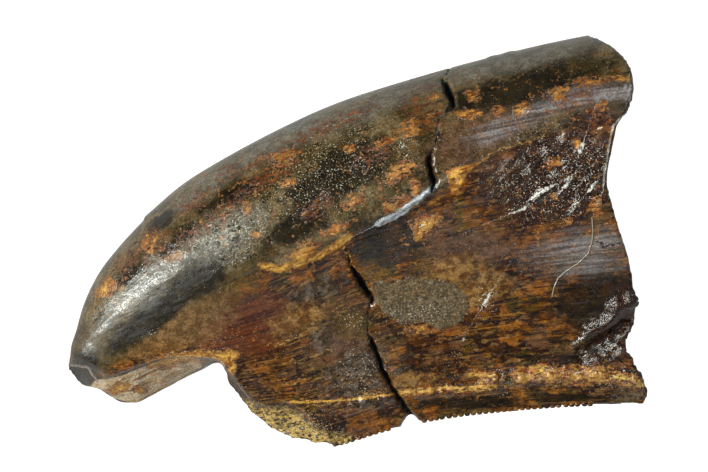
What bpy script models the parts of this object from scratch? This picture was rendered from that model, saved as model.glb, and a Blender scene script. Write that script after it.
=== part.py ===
"""A fossil tooth crown of a small tyrannosaur, broken and worn, lying on its side.

The crown points to -X and its broken root end is at +X. The thick rounded front edge is
the one towards +Y and the thin saw edge is the one towards -Y. The seen face looks up.
Lengths are in millimetres until they go into a mesh, which is in metres.
"""

import math

import bmesh
import bpy
import numpy as np
from mathutils import Vector, noise
from mathutils.bvhtree import BVHTree

MM = 0.001

# Cross-sections from the tip to past the broken root end. Each has the x and y of its
# front edge, the x and y of its saw edge, its thickness, how fast it thins out towards
# the saw edge (under 1 is an oval, over 1 a teardrop) and the height of its underside.
RIBS = [
    (-15.87, -6.33, -15.29, -7.87, 2.1, 0.50, 2.50),
    (-15.79, -5.67, -14.57, -8.36, 3.1, 0.55, 2.10),
    (-15.51, -4.84, -13.53, -8.90, 3.9, 0.62, 1.75),
    (-15.05, -3.30, -11.99, -9.50, 4.9, 0.72, 1.30),
    (-14.22, -1.65, -10.06, -10.18, 6.0, 0.85, 0.85),
    (-13.03, -0.14, -7.97, -10.73, 6.9, 0.98, 0.60),
    (-11.59, 1.38, -5.67, -11.12, 7.6, 1.08, 0.38),
    (-9.77, 3.05, -3.46, -11.27, 8.1, 1.15, 0.22),
    (-7.57, 4.46, -1.26, -11.17, 8.5, 1.20, 0.12),
    (-4.27, 6.22, 1.49, -10.36, 8.9, 1.22, 0.05),
    (-0.99, 7.68, 4.51, -9.70, 9.1, 1.22, 0.02),
    (3.41, 9.08, 8.09, -9.26, 9.3, 1.22, 0.02),
    (7.81, 10.27, 11.66, -8.98, 9.4, 1.22, 0.04),
    (11.94, 11.20, 14.96, -8.90, 9.4, 1.22, 0.10),
    (16.06, 11.88, 18.26, -8.88, 9.4, 1.22, 0.16),
]
TIP = (-16.10, -7.30)
TIP_HEIGHT = 3.4

# The saw edge lies lower than the rounded front edge
SAW_EDGE_DROP = 3.1
SAW_EDGE_DROP_TIP = 0.9
SAW_EDGE_HALF_THICKNESS = 0.16

# How soon the drop is full, how high the front edge's nose sits in the thickness, over
# which share the saw edge rounds off, and how soon its thickness sets in behind the nose
DROP_GROWTH = 1.6
NOSE_HEIGHT = 0.48
EDGE_ROUNDING = 0.02
EDGE_ONSET = 4

# The hidden face is fuller than the seen one, and is fullest at this share of the section
HIDDEN_FULLNESS = 0.82
HIDDEN_FULLEST = 0.44

# Mesh density of the smooth crown before it is broken
RINGS_PER_RIB = 7
STEPS_PER_FACE = 26
STEPS_CLOSER_AT_NOSE = 1.7
EDGE_SAMPLES = 600

# The stretch of saw edge that is lost beside the tip: its rim on the seen face, with the
# height of that face, and its foot on the hidden face. The last three points of each
# list are outside the tooth.
LOST_EDGE_RIM = [
    (-14.41, -7.75, 4.6),
    (-13.09, -7.26, 5.0),
    (-11.99, -6.82, 5.2),
    (-10.89, -6.43, 5.2),
    (-9.79, -6.27, 5.2),
    (-8.69, -6.33, 5.2),
    (-7.70, -6.38, 5.2),
    (-7.37, -6.71, 5.0),
    (-6.82, -7.37, 4.6),
    (-6.54, -7.92, 4.4),
    (-6.00, -8.53, 4.1),
    (-5.78, -8.96, 3.9),
    (-4.84, -9.07, 3.8),
    (-3.85, -8.91, 3.8),
    (-2.92, -9.40, 3.6),
    (-2.31, -10.23, 3.1),
    (-1.81, -10.89, 2.7),
    (-1.32, -11.30, 2.5),
    (-0.71, -13.64, 2.5),
    (-18.00, -13.64, 4.6),
    (-18.00, -8.00, 4.6),
]
LOST_EDGE_FOOT = [
    (-14.42, -7.86, 2.9),
    (-13.09, -8.72, 2.6),
    (-12.10, -8.80, 2.6),
    (-10.82, -8.18, 2.5),
    (-9.72, -7.62, 2.4),
    (-8.62, -7.04, 2.4),
    (-7.72, -6.56, 2.4),
    (-7.50, -6.80, 2.4),
    (-7.00, -7.46, 2.3),
    (-6.80, -8.00, 2.3),
    (-6.26, -8.64, 2.3),
    (-6.08, -9.08, 2.3),
    (-5.40, -9.88, 2.2),
    (-4.38, -10.56, 2.1),
    (-3.64, -10.92, 2.0),
    (-2.78, -11.26, 1.9),
    (-2.15, -11.20, 1.9),
    (-1.54, -11.40, 1.9),
    (-0.71, -13.64, 1.9),
    (-18.00, -13.64, 2.7),
    (-18.00, -8.30, 2.9),
]

# Heights clear below and above the tooth, where the cutters end and looks start
BELOW = -3.0
ABOVE = 14.0
FAR_OFF = 40.0

# Outline of the broken root end as seen from above, front to back
ROOT_BREAK = [
    (12.65, 11.40),
    (13.40, 10.94),
    (13.95, 10.61),
    (14.50, 10.11),
    (14.88, 9.57),
    (15.11, 8.96),
    (15.16, 8.25),
    (14.99, 7.54),
    (14.61, 6.88),
    (14.22, 6.27),
    (14.01, 5.33),
    (13.79, 4.24),
    (13.68, 3.41),
    (13.73, 2.86),
    (14.01, 2.04),
    (14.22, 1.21),
    (14.55, 0.28),
    (14.88, -0.71),
    (15.11, -1.65),
    (15.27, -2.92),
    (15.32, -3.74),
    (15.27, -4.57),
    (14.94, -5.20),
    (14.84, -5.80),
    (15.24, -6.40),
    (15.49, -7.04),
    (15.77, -7.59),
    (15.93, -8.03),
    (15.98, -8.42),
    (15.82, -8.90),
    (15.49, -9.60),
]

# The break is hollowed between its two rims: share of the way down, share of the hollow
ROOT_HOLLOW_DEPTH = 1.9
ROOT_HOLLOW_ENDS = 2.4
ROOT_FULL_THICKNESS = 6.0
RIM_INSET = 0.2
CUTTER_PAST_ROOT = 22.0
CUTTER_PAST_FRONT = 2.0
CUTTER_START = 12.6
ROOT_HOLLOW = [(-0.06, 0.0), (0.08, 0.08), (0.26, 0.60), (0.52, 1.0), (0.78, 0.72), (1.04, 0.35)]

# Worn end of the tip: a slanted facet that takes off the point
TIP_FACET_CENTRE = (-14.90, -7.36, 3.7)
TIP_FACET_NORMAL = (-0.55, -0.80, 0.42)

# Nick where the crack runs out through the saw edge
CRACK_NICK = [
    (2.04, -11.2), (2.18, -10.15), (2.52, -9.65), (2.97, -9.30), (3.22, -9.65), (3.50, -10.0),
    (3.70, -11.2),
]

# The crack round the tooth: the face it is seen on, its place there (x and y, or x and z
# on the front edge), its width and its depth
CRACK = [
    ("front", 5.30, 1.6, 0.14, 0.35),
    ("front", 5.10, 3.4, 0.18, 0.40),
    ("front", 5.05, 5.0, 0.20, 0.45),
    ("front", 4.85, 6.6, 0.24, 0.50),
    ("seen", 4.73, 8.91, 0.30, 0.65),
    ("seen", 5.00, 8.25, 0.34, 0.75),
    ("seen", 5.33, 7.75, 0.28, 0.55),
    ("seen", 4.70, 7.10, 0.09, 0.22),
    ("seen", 4.36, 6.10, 0.09, 0.22),
    ("seen", 4.00, 5.20, 0.13, 0.30),
    ("seen", 3.90, 4.24, 0.26, 0.65),
    ("seen", 4.12, 3.08, 0.30, 0.75),
    ("seen", 4.01, 2.60, 0.24, 0.55),
    ("seen", 4.10, 2.10, 0.10, 0.25),
]
CRACK_LOWER = [
    ("seen", -0.62, -0.50, 0.09, 0.22),
    ("seen", -0.33, -1.20, 0.14, 0.30),
    ("seen", -0.17, -1.65, 0.24, 0.55),
    ("seen", 0.22, -2.20, 0.34, 0.75),
    ("seen", 0.49, -2.64, 0.38, 0.75),
    ("seen", 0.82, -3.35, 0.22, 0.50),
    ("seen", 0.55, -4.20, 0.10, 0.25),
    ("seen", 0.60, -5.12, 0.14, 0.35),
    ("seen", 0.77, -5.67, 0.28, 0.60),
    ("seen", 0.99, -6.27, 0.28, 0.60),
    ("seen", 1.21, -6.88, 0.28, 0.55),
    ("seen", 1.65, -7.48, 0.32, 0.50),
    ("seen", 1.98, -7.97, 0.28, 0.45),
    ("seen", 2.25, -8.42, 0.28, 0.40),
    ("seen", 2.42, -8.91, 0.28, 0.35),
    ("seen", 2.80, -9.40, 0.30, 0.30),
]
CRACK_HIDDEN = [
    ("hidden", 5.35, 8.3, 0.14, 0.35),
    ("hidden", 5.00, 6.8, 0.20, 0.45),
    ("hidden", 4.30, 5.0, 0.22, 0.50),
    ("hidden", 3.90, 3.2, 0.20, 0.45),
    ("hidden", 3.20, 1.0, 0.12, 0.30),
    ("hidden", 2.00, -0.8, 0.12, 0.30),
    ("hidden", 0.90, -2.6, 0.22, 0.50),
    ("hidden", 0.80, -4.6, 0.24, 0.45),
    ("hidden", 1.30, -6.6, 0.22, 0.40),
    ("hidden", 2.20, -8.2, 0.20, 0.32),
    ("hidden", 2.80, -9.3, 0.20, 0.26),
]

# How far the crack's wedge starts above the surface
CRACK_LIFT = 0.45

# Relief of the seen face. Lines run along each form, and the numbers after them are the
# height of the form and its half width.
ENAMEL_EDGE = [
    (-6.6, -2.0), (-5.28, -1.43), (-4.01, -1.32), (-2.92, -1.10), (-2.09, -0.44),
    (-0.44, 0.39), (1.38, 1.16), (2.31, 1.76), (3.96, 2.69), (5.06, 3.14),
    (6.43, 4.24), (7.81, 4.95), (10.01, 5.72), (12.21, 6.43), (14.2, 6.9),
]
ENAMEL_STEP = 0.30
ENAMEL_STEP_REACH = 2.2
ENAMEL_STEP_WIDTH = 0.18
ROOT_RIDGE = [(15.3, -3.1), (14.41, -3.47), (13.86, -4.18), (12.76, -4.84), (12.1, -5.7)]
ROOT_RIDGE_SIZE = (0.35, 0.42)
ROOT_VALLEY = [(15.6, -5.35), (14.2, -5.55), (12.9, -6.0), (11.66, -6.35), (9.46, -6.7)]
ROOT_VALLEY_SIZE = (-0.55, 0.48)
CRUST = [
    (-0.71, -9.05), (2.31, -8.2), (5.2, -8.0), (7.26, -7.75), (8.9, -7.35), (10.56, -7.3),
    (13.4, -7.2), (15.4, -7.5),
]
CRUST_SIZE = (0.22, 0.36)
CRUST_UNEVENNESS = 0.8
FRONT_RIDGE = [(9.5, 7.2), (11.4, 7.9), (14.2, 8.6)]
FRONT_RIDGE_SIZE = (0.22, 0.30)
ROUGH_CENTRE = (11.2, 3.8)
ROUGH_RADII = (3.6, 2.6)
ROUGH_HEIGHT = 0.256
ROUGH_FADE = (1.15, 0.75)
PATCH_CENTRE = (3.4, -4.0)
PATCH_RADII = (2.5, 1.05)
PATCH_HEIGHT = 0.14
PATCH_FADE = (1.05, 0.85)
UNEVENNESS = 0.03
BROKEN_ROUGHNESS = 0.16
SPLIT_ROUGHNESS = 0.05
SPLIT_ENDS_AT = -7.0
SPLIT_FADE = (-0.8, 0.4)
HIDDEN_FACE_ROUGHNESS = 0.07

# A spot is broken where it lies this deep under the whole crown, and belongs to the seen
# or the hidden face where its outward direction points up or down by this much
BROKEN_DEPTH = (0.12, 0.40)
SEEN_TILT = (0.15, 0.55)
HIDDEN_TILT = (0.0, 0.4)

# Saw edge: denticles on the two stretches that are left, as distances in x
DENTICLE_PITCH = 0.341
DENTICLE_WIDTH = 0.25
DENTICLE_REACH = 0.15
DENTICLE_ROOT = 0.40
DENTICLE_HEIGHT = 0.58
DENTICLE_STRETCHES = [(-1.45, 2.0), (3.65, 13.2)]

# Triangle budget and the grain of the worked surface
GRAIN = 0.16
KEPT_SHARE = 0.041

# Deep brown fossil, and the angle above which an edge stays sharp
FOSSIL_COLOUR = (0.075, 0.042, 0.018, 1)
FOSSIL_ROUGHNESS = 0.38
SHARP_ANGLE = 40


def clear_scene():
    """Empty the scene before anything is made."""
    for item in list(bpy.data.objects):
        bpy.data.objects.remove(item)


def smooth_row(rows, position):
    """Value of a table of rows at a fractional row number, along a smooth curve."""
    last = len(rows) - 1
    start = min(int(position), last - 1)
    t = position - start
    before = rows[start - 1] if start > 0 else 2 * rows[0] - rows[1]
    after = rows[start + 2] if start + 2 <= last else 2 * rows[last] - rows[last - 1]
    here, there = rows[start], rows[start + 1]
    bend = 2 * before - 5 * here + 4 * there - after
    twist = 3 * here - before - 3 * there + after
    return here + 0.5 * t * ((there - before) + t * (bend + t * twist))


def section_fullness(share, thinning):
    """Half thickness of a section, 1 at its fullest, from front (0) to saw edge (1)."""
    fullest = 0.5 / (0.5 + thinning)
    peak = math.sqrt(fullest) * (1 - fullest) ** thinning
    return math.sqrt(share) * (1 - share) ** thinning / peak


def rib_table():
    return [np.array(rib, dtype=float) for rib in RIBS]


def section_point(rib, progress, share, side):
    """A point of the crown's skin: share runs front to saw edge, side is +1 up, -1 down."""
    front_x, front_y, saw_x, saw_y, thickness, thinning, underside = rib
    grown = min(progress * DROP_GROWTH, 1.0)
    drop = SAW_EDGE_DROP_TIP + (SAW_EDGE_DROP - SAW_EDGE_DROP_TIP) * grown
    nose = underside + HIDDEN_FULLEST * drop + NOSE_HEIGHT * thickness
    here = thinning if side > 0 else thinning * HIDDEN_FULLNESS
    half = 0.5 * thickness * section_fullness(share, here)
    rounding = math.sqrt(min(1.0, (1 - share) / EDGE_ROUNDING))
    edge = SAW_EDGE_HALF_THICKNESS * rounding * min(1.0, share * EDGE_ONSET)
    x = front_x + (saw_x - front_x) * share
    y = front_y + (saw_y - front_y) * share
    z = nose - drop * share + side * (half + edge)
    return Vector((x, y, z))


def saw_edge_points(count):
    """Points along the saw edge, from the first rib to the last."""
    ribs = rib_table()
    points = []
    for step in range(count + 1):
        progress = step / count
        rib = smooth_row(ribs, progress * (len(ribs) - 1))
        points.append(section_point(rib, progress, 1.0, 1))
    return points


def make_crown():
    """The whole crown, smooth and unbroken, running on past the root end."""
    ribs = rib_table()
    mesh_maker = bmesh.new()
    rings = []
    ring_count = (len(ribs) - 1) * RINGS_PER_RIB
    for ring_number in range(ring_count + 1):
        progress = ring_number / ring_count
        rib = smooth_row(ribs, progress * (len(ribs) - 1))
        over = [(step / STEPS_PER_FACE) ** STEPS_CLOSER_AT_NOSE for step in range(STEPS_PER_FACE + 1)]
        points = [section_point(rib, progress, share, 1) for share in over]
        points += [section_point(rib, progress, share, -1) for share in reversed(over[1:-1])]
        rings.append([mesh_maker.verts.new(point * MM) for point in points])
    tip = mesh_maker.verts.new(Vector((TIP[0], TIP[1], TIP_HEIGHT)) * MM)
    for ring, next_ring in zip(rings, rings[1:]):
        for a in range(len(ring)):
            b = (a + 1) % len(ring)
            mesh_maker.faces.new((ring[a], ring[b], next_ring[b], next_ring[a]))
    for a in range(len(rings[0])):
        b = (a + 1) % len(rings[0])
        mesh_maker.faces.new((rings[0][b], rings[0][a], tip))
    mesh_maker.faces.new(rings[-1])
    bmesh.ops.recalc_face_normals(mesh_maker, faces=mesh_maker.faces)
    return finish_mesh(mesh_maker, "crown")


def finish_mesh(mesh_maker, name):
    """Put a worked mesh into an object of the scene."""
    mesh = bpy.data.meshes.new(name)
    mesh_maker.to_mesh(mesh)
    mesh_maker.free()
    made = bpy.data.objects.new(name, mesh)
    bpy.context.scene.collection.objects.link(made)
    return made


def stack_outlines(outlines, name):
    """A closed cutter that joins outlines of equal length, lowest first."""
    mesh_maker = bmesh.new()
    loops = [[mesh_maker.verts.new(Vector(spot) * MM) for spot in outline] for outline in outlines]
    for loop, next_loop in zip(loops, loops[1:]):
        for a in range(len(loop)):
            b = (a + 1) % len(loop)
            mesh_maker.faces.new((loop[a], loop[b], next_loop[b], next_loop[a]))
    mesh_maker.faces.new(loops[0])
    mesh_maker.faces.new(loops[-1])
    bmesh.ops.triangulate(mesh_maker, faces=mesh_maker.faces)
    bmesh.ops.recalc_face_normals(mesh_maker, faces=mesh_maker.faces)
    return as_cutter(finish_mesh(mesh_maker, name))


def as_cutter(cutter):
    cutter.hide_render = True
    cutter.display_type = "WIRE"
    return cutter


def at_height(outline, height):
    return [(x, y, height) for x, y, *_ in outline]


def lost_edge_cutter():
    """Takes off the saw edge beside the tip, with a steep broken face."""
    below = at_height(LOST_EDGE_FOOT, BELOW)
    above = at_height(LOST_EDGE_RIM, ABOVE)
    return stack_outlines([below, LOST_EDGE_FOOT, LOST_EDGE_RIM, above], "lost_edge")


def skin_of(body):
    """The surface of a body, to be looked up from any side."""
    return BVHTree.FromPolygons(
        [vertex.co.copy() for vertex in body.data.vertices],
        [list(face.vertices) for face in body.data.polygons],
    )


def look_at(skin, face, u, v):
    """Place and outward direction of the surface, looked at from one side."""
    start, way = {
        "seen": ((u, v, FAR_OFF), (0, 0, -1)),
        "hidden": ((u, v, -FAR_OFF), (0, 0, 1)),
        "front": ((u, FAR_OFF, v), (0, -1, 0)),
    }[face]
    place, outward, _, _ = skin.ray_cast(Vector(start) * MM, Vector(way))
    if place is None:
        return None, None
    return place / MM, outward


def root_break_cutter(crown):
    """Takes off the root end, hollowed between the rims of its two faces."""
    skin = skin_of(crown)
    rims = []
    for x, y in ROOT_BREAK:
        above, _ = look_at(skin, "seen", x - RIM_INSET, y)
        below, _ = look_at(skin, "hidden", x - RIM_INSET, y)
        rims.append((above.z, below.z) if above else None)
    known = [rim for rim in rims if rim]
    rims = [rim if rim else known[0 if y > 0 else -1] for rim, (_, y) in zip(rims, ROOT_BREAK)]
    front_y, back_y = ROOT_BREAK[0][1], ROOT_BREAK[-1][1]
    past_front = front_y + CUTTER_PAST_FRONT
    corners = [(CUTTER_PAST_ROOT, back_y), (CUTTER_PAST_ROOT, past_front), (CUTTER_START, past_front)]
    outlines = []
    for down, hollow in reversed(ROOT_HOLLOW):
        outline = []
        for (x, y), (top, bottom) in zip(ROOT_BREAK, rims):
            ends = min(1.0, max(0.0, min(front_y - y, y - back_y) / ROOT_HOLLOW_ENDS))
            deep = ROOT_HOLLOW_DEPTH * hollow * ends * min(1.0, (top - bottom) / ROOT_FULL_THICKNESS)
            outline.append((x - deep, y, top + (bottom - top) * down))
        middle = sum(height for _, _, height in outline) / len(outline)
        outline += [(x, y, middle) for x, y in corners]
        outlines.append(outline)
    outlines.insert(0, at_height(outlines[0], BELOW))
    outlines.append(at_height(outlines[-1], ABOVE))
    return stack_outlines(outlines, "root_break")


def slab_cutter(centre, normal, name):
    """A half space: removes all that lies beyond a plane."""
    bpy.ops.mesh.primitive_cube_add(size=FAR_OFF * MM)
    slab = bpy.context.object
    slab.name = name
    direction = Vector(normal).normalized()
    slab.rotation_euler = direction.to_track_quat("Z", "Y").to_euler()
    slab.location = (Vector(centre) + direction * FAR_OFF / 2) * MM
    return as_cutter(slab)


def cut(body, cutter, operation="DIFFERENCE"):
    step = body.modifiers.new(cutter.name, "BOOLEAN")
    step.operation = operation
    step.object = cutter
    step.solver = "EXACT"


def evaluated_mesh(body):
    bpy.context.view_layer.update()
    seen = body.evaluated_get(bpy.context.evaluated_depsgraph_get())
    return bpy.data.meshes.new_from_object(seen)


def line_distance(line, x, y):
    """Distance of points from a line of straight runs, and on which side they lie."""
    best = np.full(len(x), 1e9)
    side = np.zeros(len(x))
    for (ax, ay), (bx, by) in zip(line, line[1:]):
        run_x, run_y = bx - ax, by - ay
        along = np.clip(((x - ax) * run_x + (y - ay) * run_y) / (run_x**2 + run_y**2), 0, 1)
        off_x, off_y = x - ax - along * run_x, y - ay - along * run_y
        away = np.hypot(off_x, off_y)
        nearer = away < best
        best[nearer] = away[nearer]
        side[nearer] = np.sign(run_x * off_y - run_y * off_x)[nearer]
    return best, side


def ramp(value, low, high):
    t = np.clip((value - low) / (high - low), 0, 1)
    return t * t * (3 - 2 * t)


def lumps(points, scale, shift=0.0):
    """Smooth noise between -1 and 1 at each point, with lumps of about the given size."""
    offset = Vector((shift, 2 * shift, -shift))
    return np.array([noise.noise(Vector(point) / scale + offset) for point in points])


def oval_distance(centre, radii, x, y):
    """Distance from the middle of an oval, 1 on its rim."""
    return np.hypot((x - centre[0]) / radii[0], (y - centre[1]) / radii[1])


def ridge_height(line, size, x, y):
    height, half_width = size
    away, _ = line_distance(line, x, y)
    return height * np.exp(-((away / half_width) ** 2))


def seen_face_relief(points):
    """Height of the forms of the seen face at each point."""
    x, y = points[:, 0], points[:, 1]
    coarse = lumps(points, 1.1)
    away, side = line_distance(ENAMEL_EDGE, x, y)
    ledge = np.tanh(side * away / ENAMEL_STEP_WIDTH)
    height = 0.5 * ENAMEL_STEP * ledge * np.exp(-away / ENAMEL_STEP_REACH)
    height += ridge_height(ROOT_RIDGE, ROOT_RIDGE_SIZE, x, y)
    height += ridge_height(ROOT_VALLEY, ROOT_VALLEY_SIZE, x, y)
    height += ridge_height(CRUST, CRUST_SIZE, x, y) * (1 + CRUST_UNEVENNESS * coarse)
    height += ridge_height(FRONT_RIDGE, FRONT_RIDGE_SIZE, x, y)
    rough = oval_distance(ROUGH_CENTRE, ROUGH_RADII, x, y)
    height += ROUGH_HEIGHT * ramp(rough, *ROUGH_FADE) * lumps(points, 0.75, 7.0)
    patch = oval_distance(PATCH_CENTRE, PATCH_RADII, x, y)
    height += PATCH_HEIGHT * ramp(patch, *PATCH_FADE)
    height += UNEVENNESS * coarse
    return height


def work_surface(body, crown):
    """Give the smooth, broken solid its ledges, ridges, crust and rough broken faces."""
    mesh = body.data
    count = len(mesh.vertices)
    flat = np.empty(count * 3)
    mesh.vertices.foreach_get("co", flat)
    points = flat.reshape(-1, 3) / MM
    mesh.vertices.foreach_get("normal", flat)
    normals = flat.reshape(-1, 3).copy()
    skin = skin_of(crown)
    depth = np.array([skin.find_nearest(Vector(point) * MM)[3] / MM for point in points])
    broken = ramp(depth, *BROKEN_DEPTH)
    seen = ramp(normals[:, 2], *SEEN_TILT) * (1 - broken)
    hidden = ramp(-normals[:, 2], *HIDDEN_TILT) * (1 - broken)
    height = seen * seen_face_relief(points)
    crumbly = ramp(points[:, 0], SPLIT_ENDS_AT + SPLIT_FADE[0], SPLIT_ENDS_AT + SPLIT_FADE[1])
    roughness = SPLIT_ROUGHNESS + (BROKEN_ROUGHNESS - SPLIT_ROUGHNESS) * crumbly
    height += broken * roughness * (lumps(points, 1.3, 3.0) + 0.7 * lumps(points, 0.6, 5.0))
    uneven = lumps(points, 1.8, 11.0) + 0.5 * lumps(points, 0.7, 13.0)
    height += hidden * HIDDEN_FACE_ROUGHNESS * uneven
    moved = (points + normals * height[:, None]) * MM
    mesh.vertices.foreach_set("co", moved.reshape(-1))
    mesh.update()


def crack_cutter(path, skin, name):
    """A wedge that follows a crack over the surface, pointing straight in."""
    spots = [(look_at(skin, face, u, v), width, depth) for face, u, v, width, depth in path]
    spots = [spot for spot in spots if spot[0][0]]
    mesh_maker = bmesh.new()
    rows = []
    for number, ((place, outward), width, depth) in enumerate(spots):
        before = spots[max(number - 1, 0)][0][0]
        after = spots[min(number + 1, len(spots) - 1)][0][0]
        across = (after - before).cross(outward).normalized()
        flare = width * (depth + CRACK_LIFT) / depth / 2
        corners = [
            place + across * flare + outward * CRACK_LIFT,
            place - across * flare + outward * CRACK_LIFT,
            place - outward * depth,
        ]
        rows.append([mesh_maker.verts.new(corner * MM) for corner in corners])
    for row, next_row in zip(rows, rows[1:]):
        for a in range(3):
            b = (a + 1) % 3
            mesh_maker.faces.new((row[a], row[b], next_row[b], next_row[a]))
    mesh_maker.faces.new(rows[0])
    mesh_maker.faces.new(rows[-1])
    bmesh.ops.triangulate(mesh_maker, faces=mesh_maker.faces)
    bmesh.ops.recalc_face_normals(mesh_maker, faces=mesh_maker.faces)
    return as_cutter(finish_mesh(mesh_maker, name))


def add_denticle(mesh_maker, place, along, outward):
    """One chisel of the saw edge: a block with a blunt rounded end, tall from face to face."""
    half = DENTICLE_WIDTH / 2
    blunt, shoulder = 0.55 * half, 0.3 * DENTICLE_REACH
    profile = [(-half, -DENTICLE_ROOT), (half, -DENTICLE_ROOT), (half, shoulder)]
    profile += [(blunt, DENTICLE_REACH), (-blunt, DENTICLE_REACH), (-half, shoulder)]
    levels = [(-0.5, 0.45), (-0.22, 1.0), (0.22, 1.0), (0.5, 0.45)]
    loops = []
    for level, reach in levels:
        loop = []
        for side, out in profile:
            out_here = out * reach if out > 0 else out
            point = place + along * side + outward * out_here + Vector((0, 0, level * DENTICLE_HEIGHT))
            loop.append(mesh_maker.verts.new(point * MM))
        loops.append(loop)
    for loop, next_loop in zip(loops, loops[1:]):
        for a in range(len(loop)):
            b = (a + 1) % len(loop)
            mesh_maker.faces.new((loop[a], loop[b], next_loop[b], next_loop[a]))
    mesh_maker.faces.new(list(reversed(loops[0])))
    mesh_maker.faces.new(loops[-1])


def make_denticles():
    """All the denticles that are left, evenly spaced along the saw edge."""
    mesh_maker = bmesh.new()
    edge = saw_edge_points(EDGE_SAMPLES)
    travelled = 0.0
    for point, next_point in zip(edge, edge[1:]):
        travelled += (next_point - point).length
        if travelled < DENTICLE_PITCH:
            continue
        travelled -= DENTICLE_PITCH
        if any(low <= point.x <= high for low, high in DENTICLE_STRETCHES):
            along = (next_point - point).normalized()
            outward = Vector((along.y, -along.x, 0)).normalized()
            add_denticle(mesh_maker, point, along, outward)
    bmesh.ops.recalc_face_normals(mesh_maker, faces=mesh_maker.faces)
    return as_cutter(finish_mesh(mesh_maker, "denticles"))


def fossil_material():
    """Dark brown, glossy fossil enamel and dentine."""
    material = bpy.data.materials.new("fossil_tooth")
    material.use_nodes = True
    shader = material.node_tree.nodes["Principled BSDF"]
    shader.inputs["Base Color"].default_value = FOSSIL_COLOUR
    shader.inputs["Roughness"].default_value = FOSSIL_ROUGHNESS
    shader.inputs["Metallic"].default_value = 0.0
    return material


def make_tooth():
    crown = make_crown()
    cut(crown, lost_edge_cutter())
    cut(crown, root_break_cutter(crown))
    cut(crown, slab_cutter(TIP_FACET_CENTRE, TIP_FACET_NORMAL, "tip_facet"))
    grain = crown.modifiers.new("grain", "REMESH")
    grain.mode = "VOXEL"
    grain.voxel_size = GRAIN * MM
    tooth = bpy.data.objects.new("tooth", evaluated_mesh(crown))
    bpy.context.scene.collection.objects.link(tooth)
    work_surface(tooth, crown)
    thin = tooth.modifiers.new("thin", "DECIMATE")
    thin.ratio = KEPT_SHARE
    skin = skin_of(crown)
    cracks = [
        crack_cutter(CRACK, skin, "crack"),
        crack_cutter(CRACK_LOWER, skin, "crack_lower"),
        crack_cutter(CRACK_HIDDEN, skin, "crack_hidden"),
    ]
    nick = stack_outlines([at_height(CRACK_NICK, BELOW), at_height(CRACK_NICK, ABOVE)], "crack_nick")
    floor = slab_cutter((0, 0, 0), (0, 0, -1), "floor")
    cut(tooth, nick)
    cut(tooth, make_denticles(), "UNION")
    for crack in cracks:
        cut(tooth, crack)
    cut(tooth, floor)
    return tooth


clear_scene()
tooth = make_tooth()
whole = evaluated_mesh(tooth)
whole.name = "tooth"
tooth.modifiers.clear()
tooth.data = whole
whole.materials.clear()
whole.materials.append(fossil_material())
whole.shade_smooth()
whole.set_sharp_from_angle(angle=math.radians(SHARP_ANGLE))
for item in list(bpy.data.objects):
    if item is not tooth:
        bpy.data.objects.remove(item)
triangles = sum(len(face.vertices) - 2 for face in whole.polygons)
print("triangles", triangles)
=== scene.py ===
# %% [markdown]
# # A fossil tooth of a small tyrannosaur
# The real thing is one solid piece: a curved crown whose enamel and dentine have turned to
# dark brown mineral. It lost the saw edge beside its tip, it broke off above the root, and
# a crack runs round it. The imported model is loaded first. It gives the place, the size and
# the contact with the table, and everything below is made around it in metres.

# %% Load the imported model
import math

import bpy
import numpy as np
from mathutils import Matrix, Vector, noise
from mathutils.bvhtree import BVHTree


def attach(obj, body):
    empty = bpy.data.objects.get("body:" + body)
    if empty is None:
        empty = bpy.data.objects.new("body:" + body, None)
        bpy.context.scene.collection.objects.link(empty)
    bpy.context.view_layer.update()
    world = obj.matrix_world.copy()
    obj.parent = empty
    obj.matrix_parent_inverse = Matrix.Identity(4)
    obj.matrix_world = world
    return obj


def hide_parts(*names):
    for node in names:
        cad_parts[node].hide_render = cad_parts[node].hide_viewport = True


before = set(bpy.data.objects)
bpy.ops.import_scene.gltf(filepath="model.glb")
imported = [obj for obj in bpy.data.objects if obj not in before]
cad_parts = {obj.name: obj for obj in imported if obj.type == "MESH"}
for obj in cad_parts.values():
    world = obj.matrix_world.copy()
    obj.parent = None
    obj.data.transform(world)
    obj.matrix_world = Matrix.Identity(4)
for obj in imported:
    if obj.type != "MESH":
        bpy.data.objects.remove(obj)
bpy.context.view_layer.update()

MM = 0.001

# %% [markdown]
# ## Where the marks are
# The tooth lies on its side under a camera that looks straight down. Each mark on it, such
# as a stain or a ledge, is known by its place in the photograph, which is 708 by 472
# pixels. One pixel is 0.055 mm at the middle of the tooth's height. A mark could be placed
# by hand in millimetres, but a place in the picture is easier to read and to correct, so
# two small functions turn one into the other along the camera's line of sight.

# %% Scale of the picture
PICTURE_WIDTH, PICTURE_HEIGHT = 708, 472
PIXEL = 0.055
MIDDLE = (-0.22, 0.33)
MIDDLE_HEIGHT = 4.5
LENS = 250.0
SENSOR = 36.0
VIEW_DISTANCE = LENS / SENSOR * PICTURE_WIDTH * PIXEL


def nearness_of(height):
    """How much larger things look at a height in millimetres than at the middle height."""
    return VIEW_DISTANCE / (VIEW_DISTANCE + MIDDLE_HEIGHT - height)


def as_seen(points):
    """Picture coordinates, in pixels, of points given in millimetres."""
    nearness = nearness_of(points[:, 2])
    right = PICTURE_WIDTH / 2 + (points[:, 0] - MIDDLE[0]) * nearness / PIXEL
    down = PICTURE_HEIGHT / 2 - (points[:, 1] - MIDDLE[1]) * nearness / PIXEL
    return right, down


print("camera distance in mm", round(VIEW_DISTANCE, 1))

# %% [markdown]
# ## Working by hand in code
# Each tool of edit mode acts on what is selected, so a few helpers select a piece alone,
# run tools inside edit mode, and apply a modifier. They keep the later cells short.

# %% Small hand tools
# Points closer than this, in millimetres, are welded
WELD = 0.0001


def take(piece):
    """Select one piece alone and make it the active one."""
    bpy.ops.object.select_all(action="DESELECT")
    piece.select_set(True)
    bpy.context.view_layer.objects.active = piece
    return piece


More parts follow.
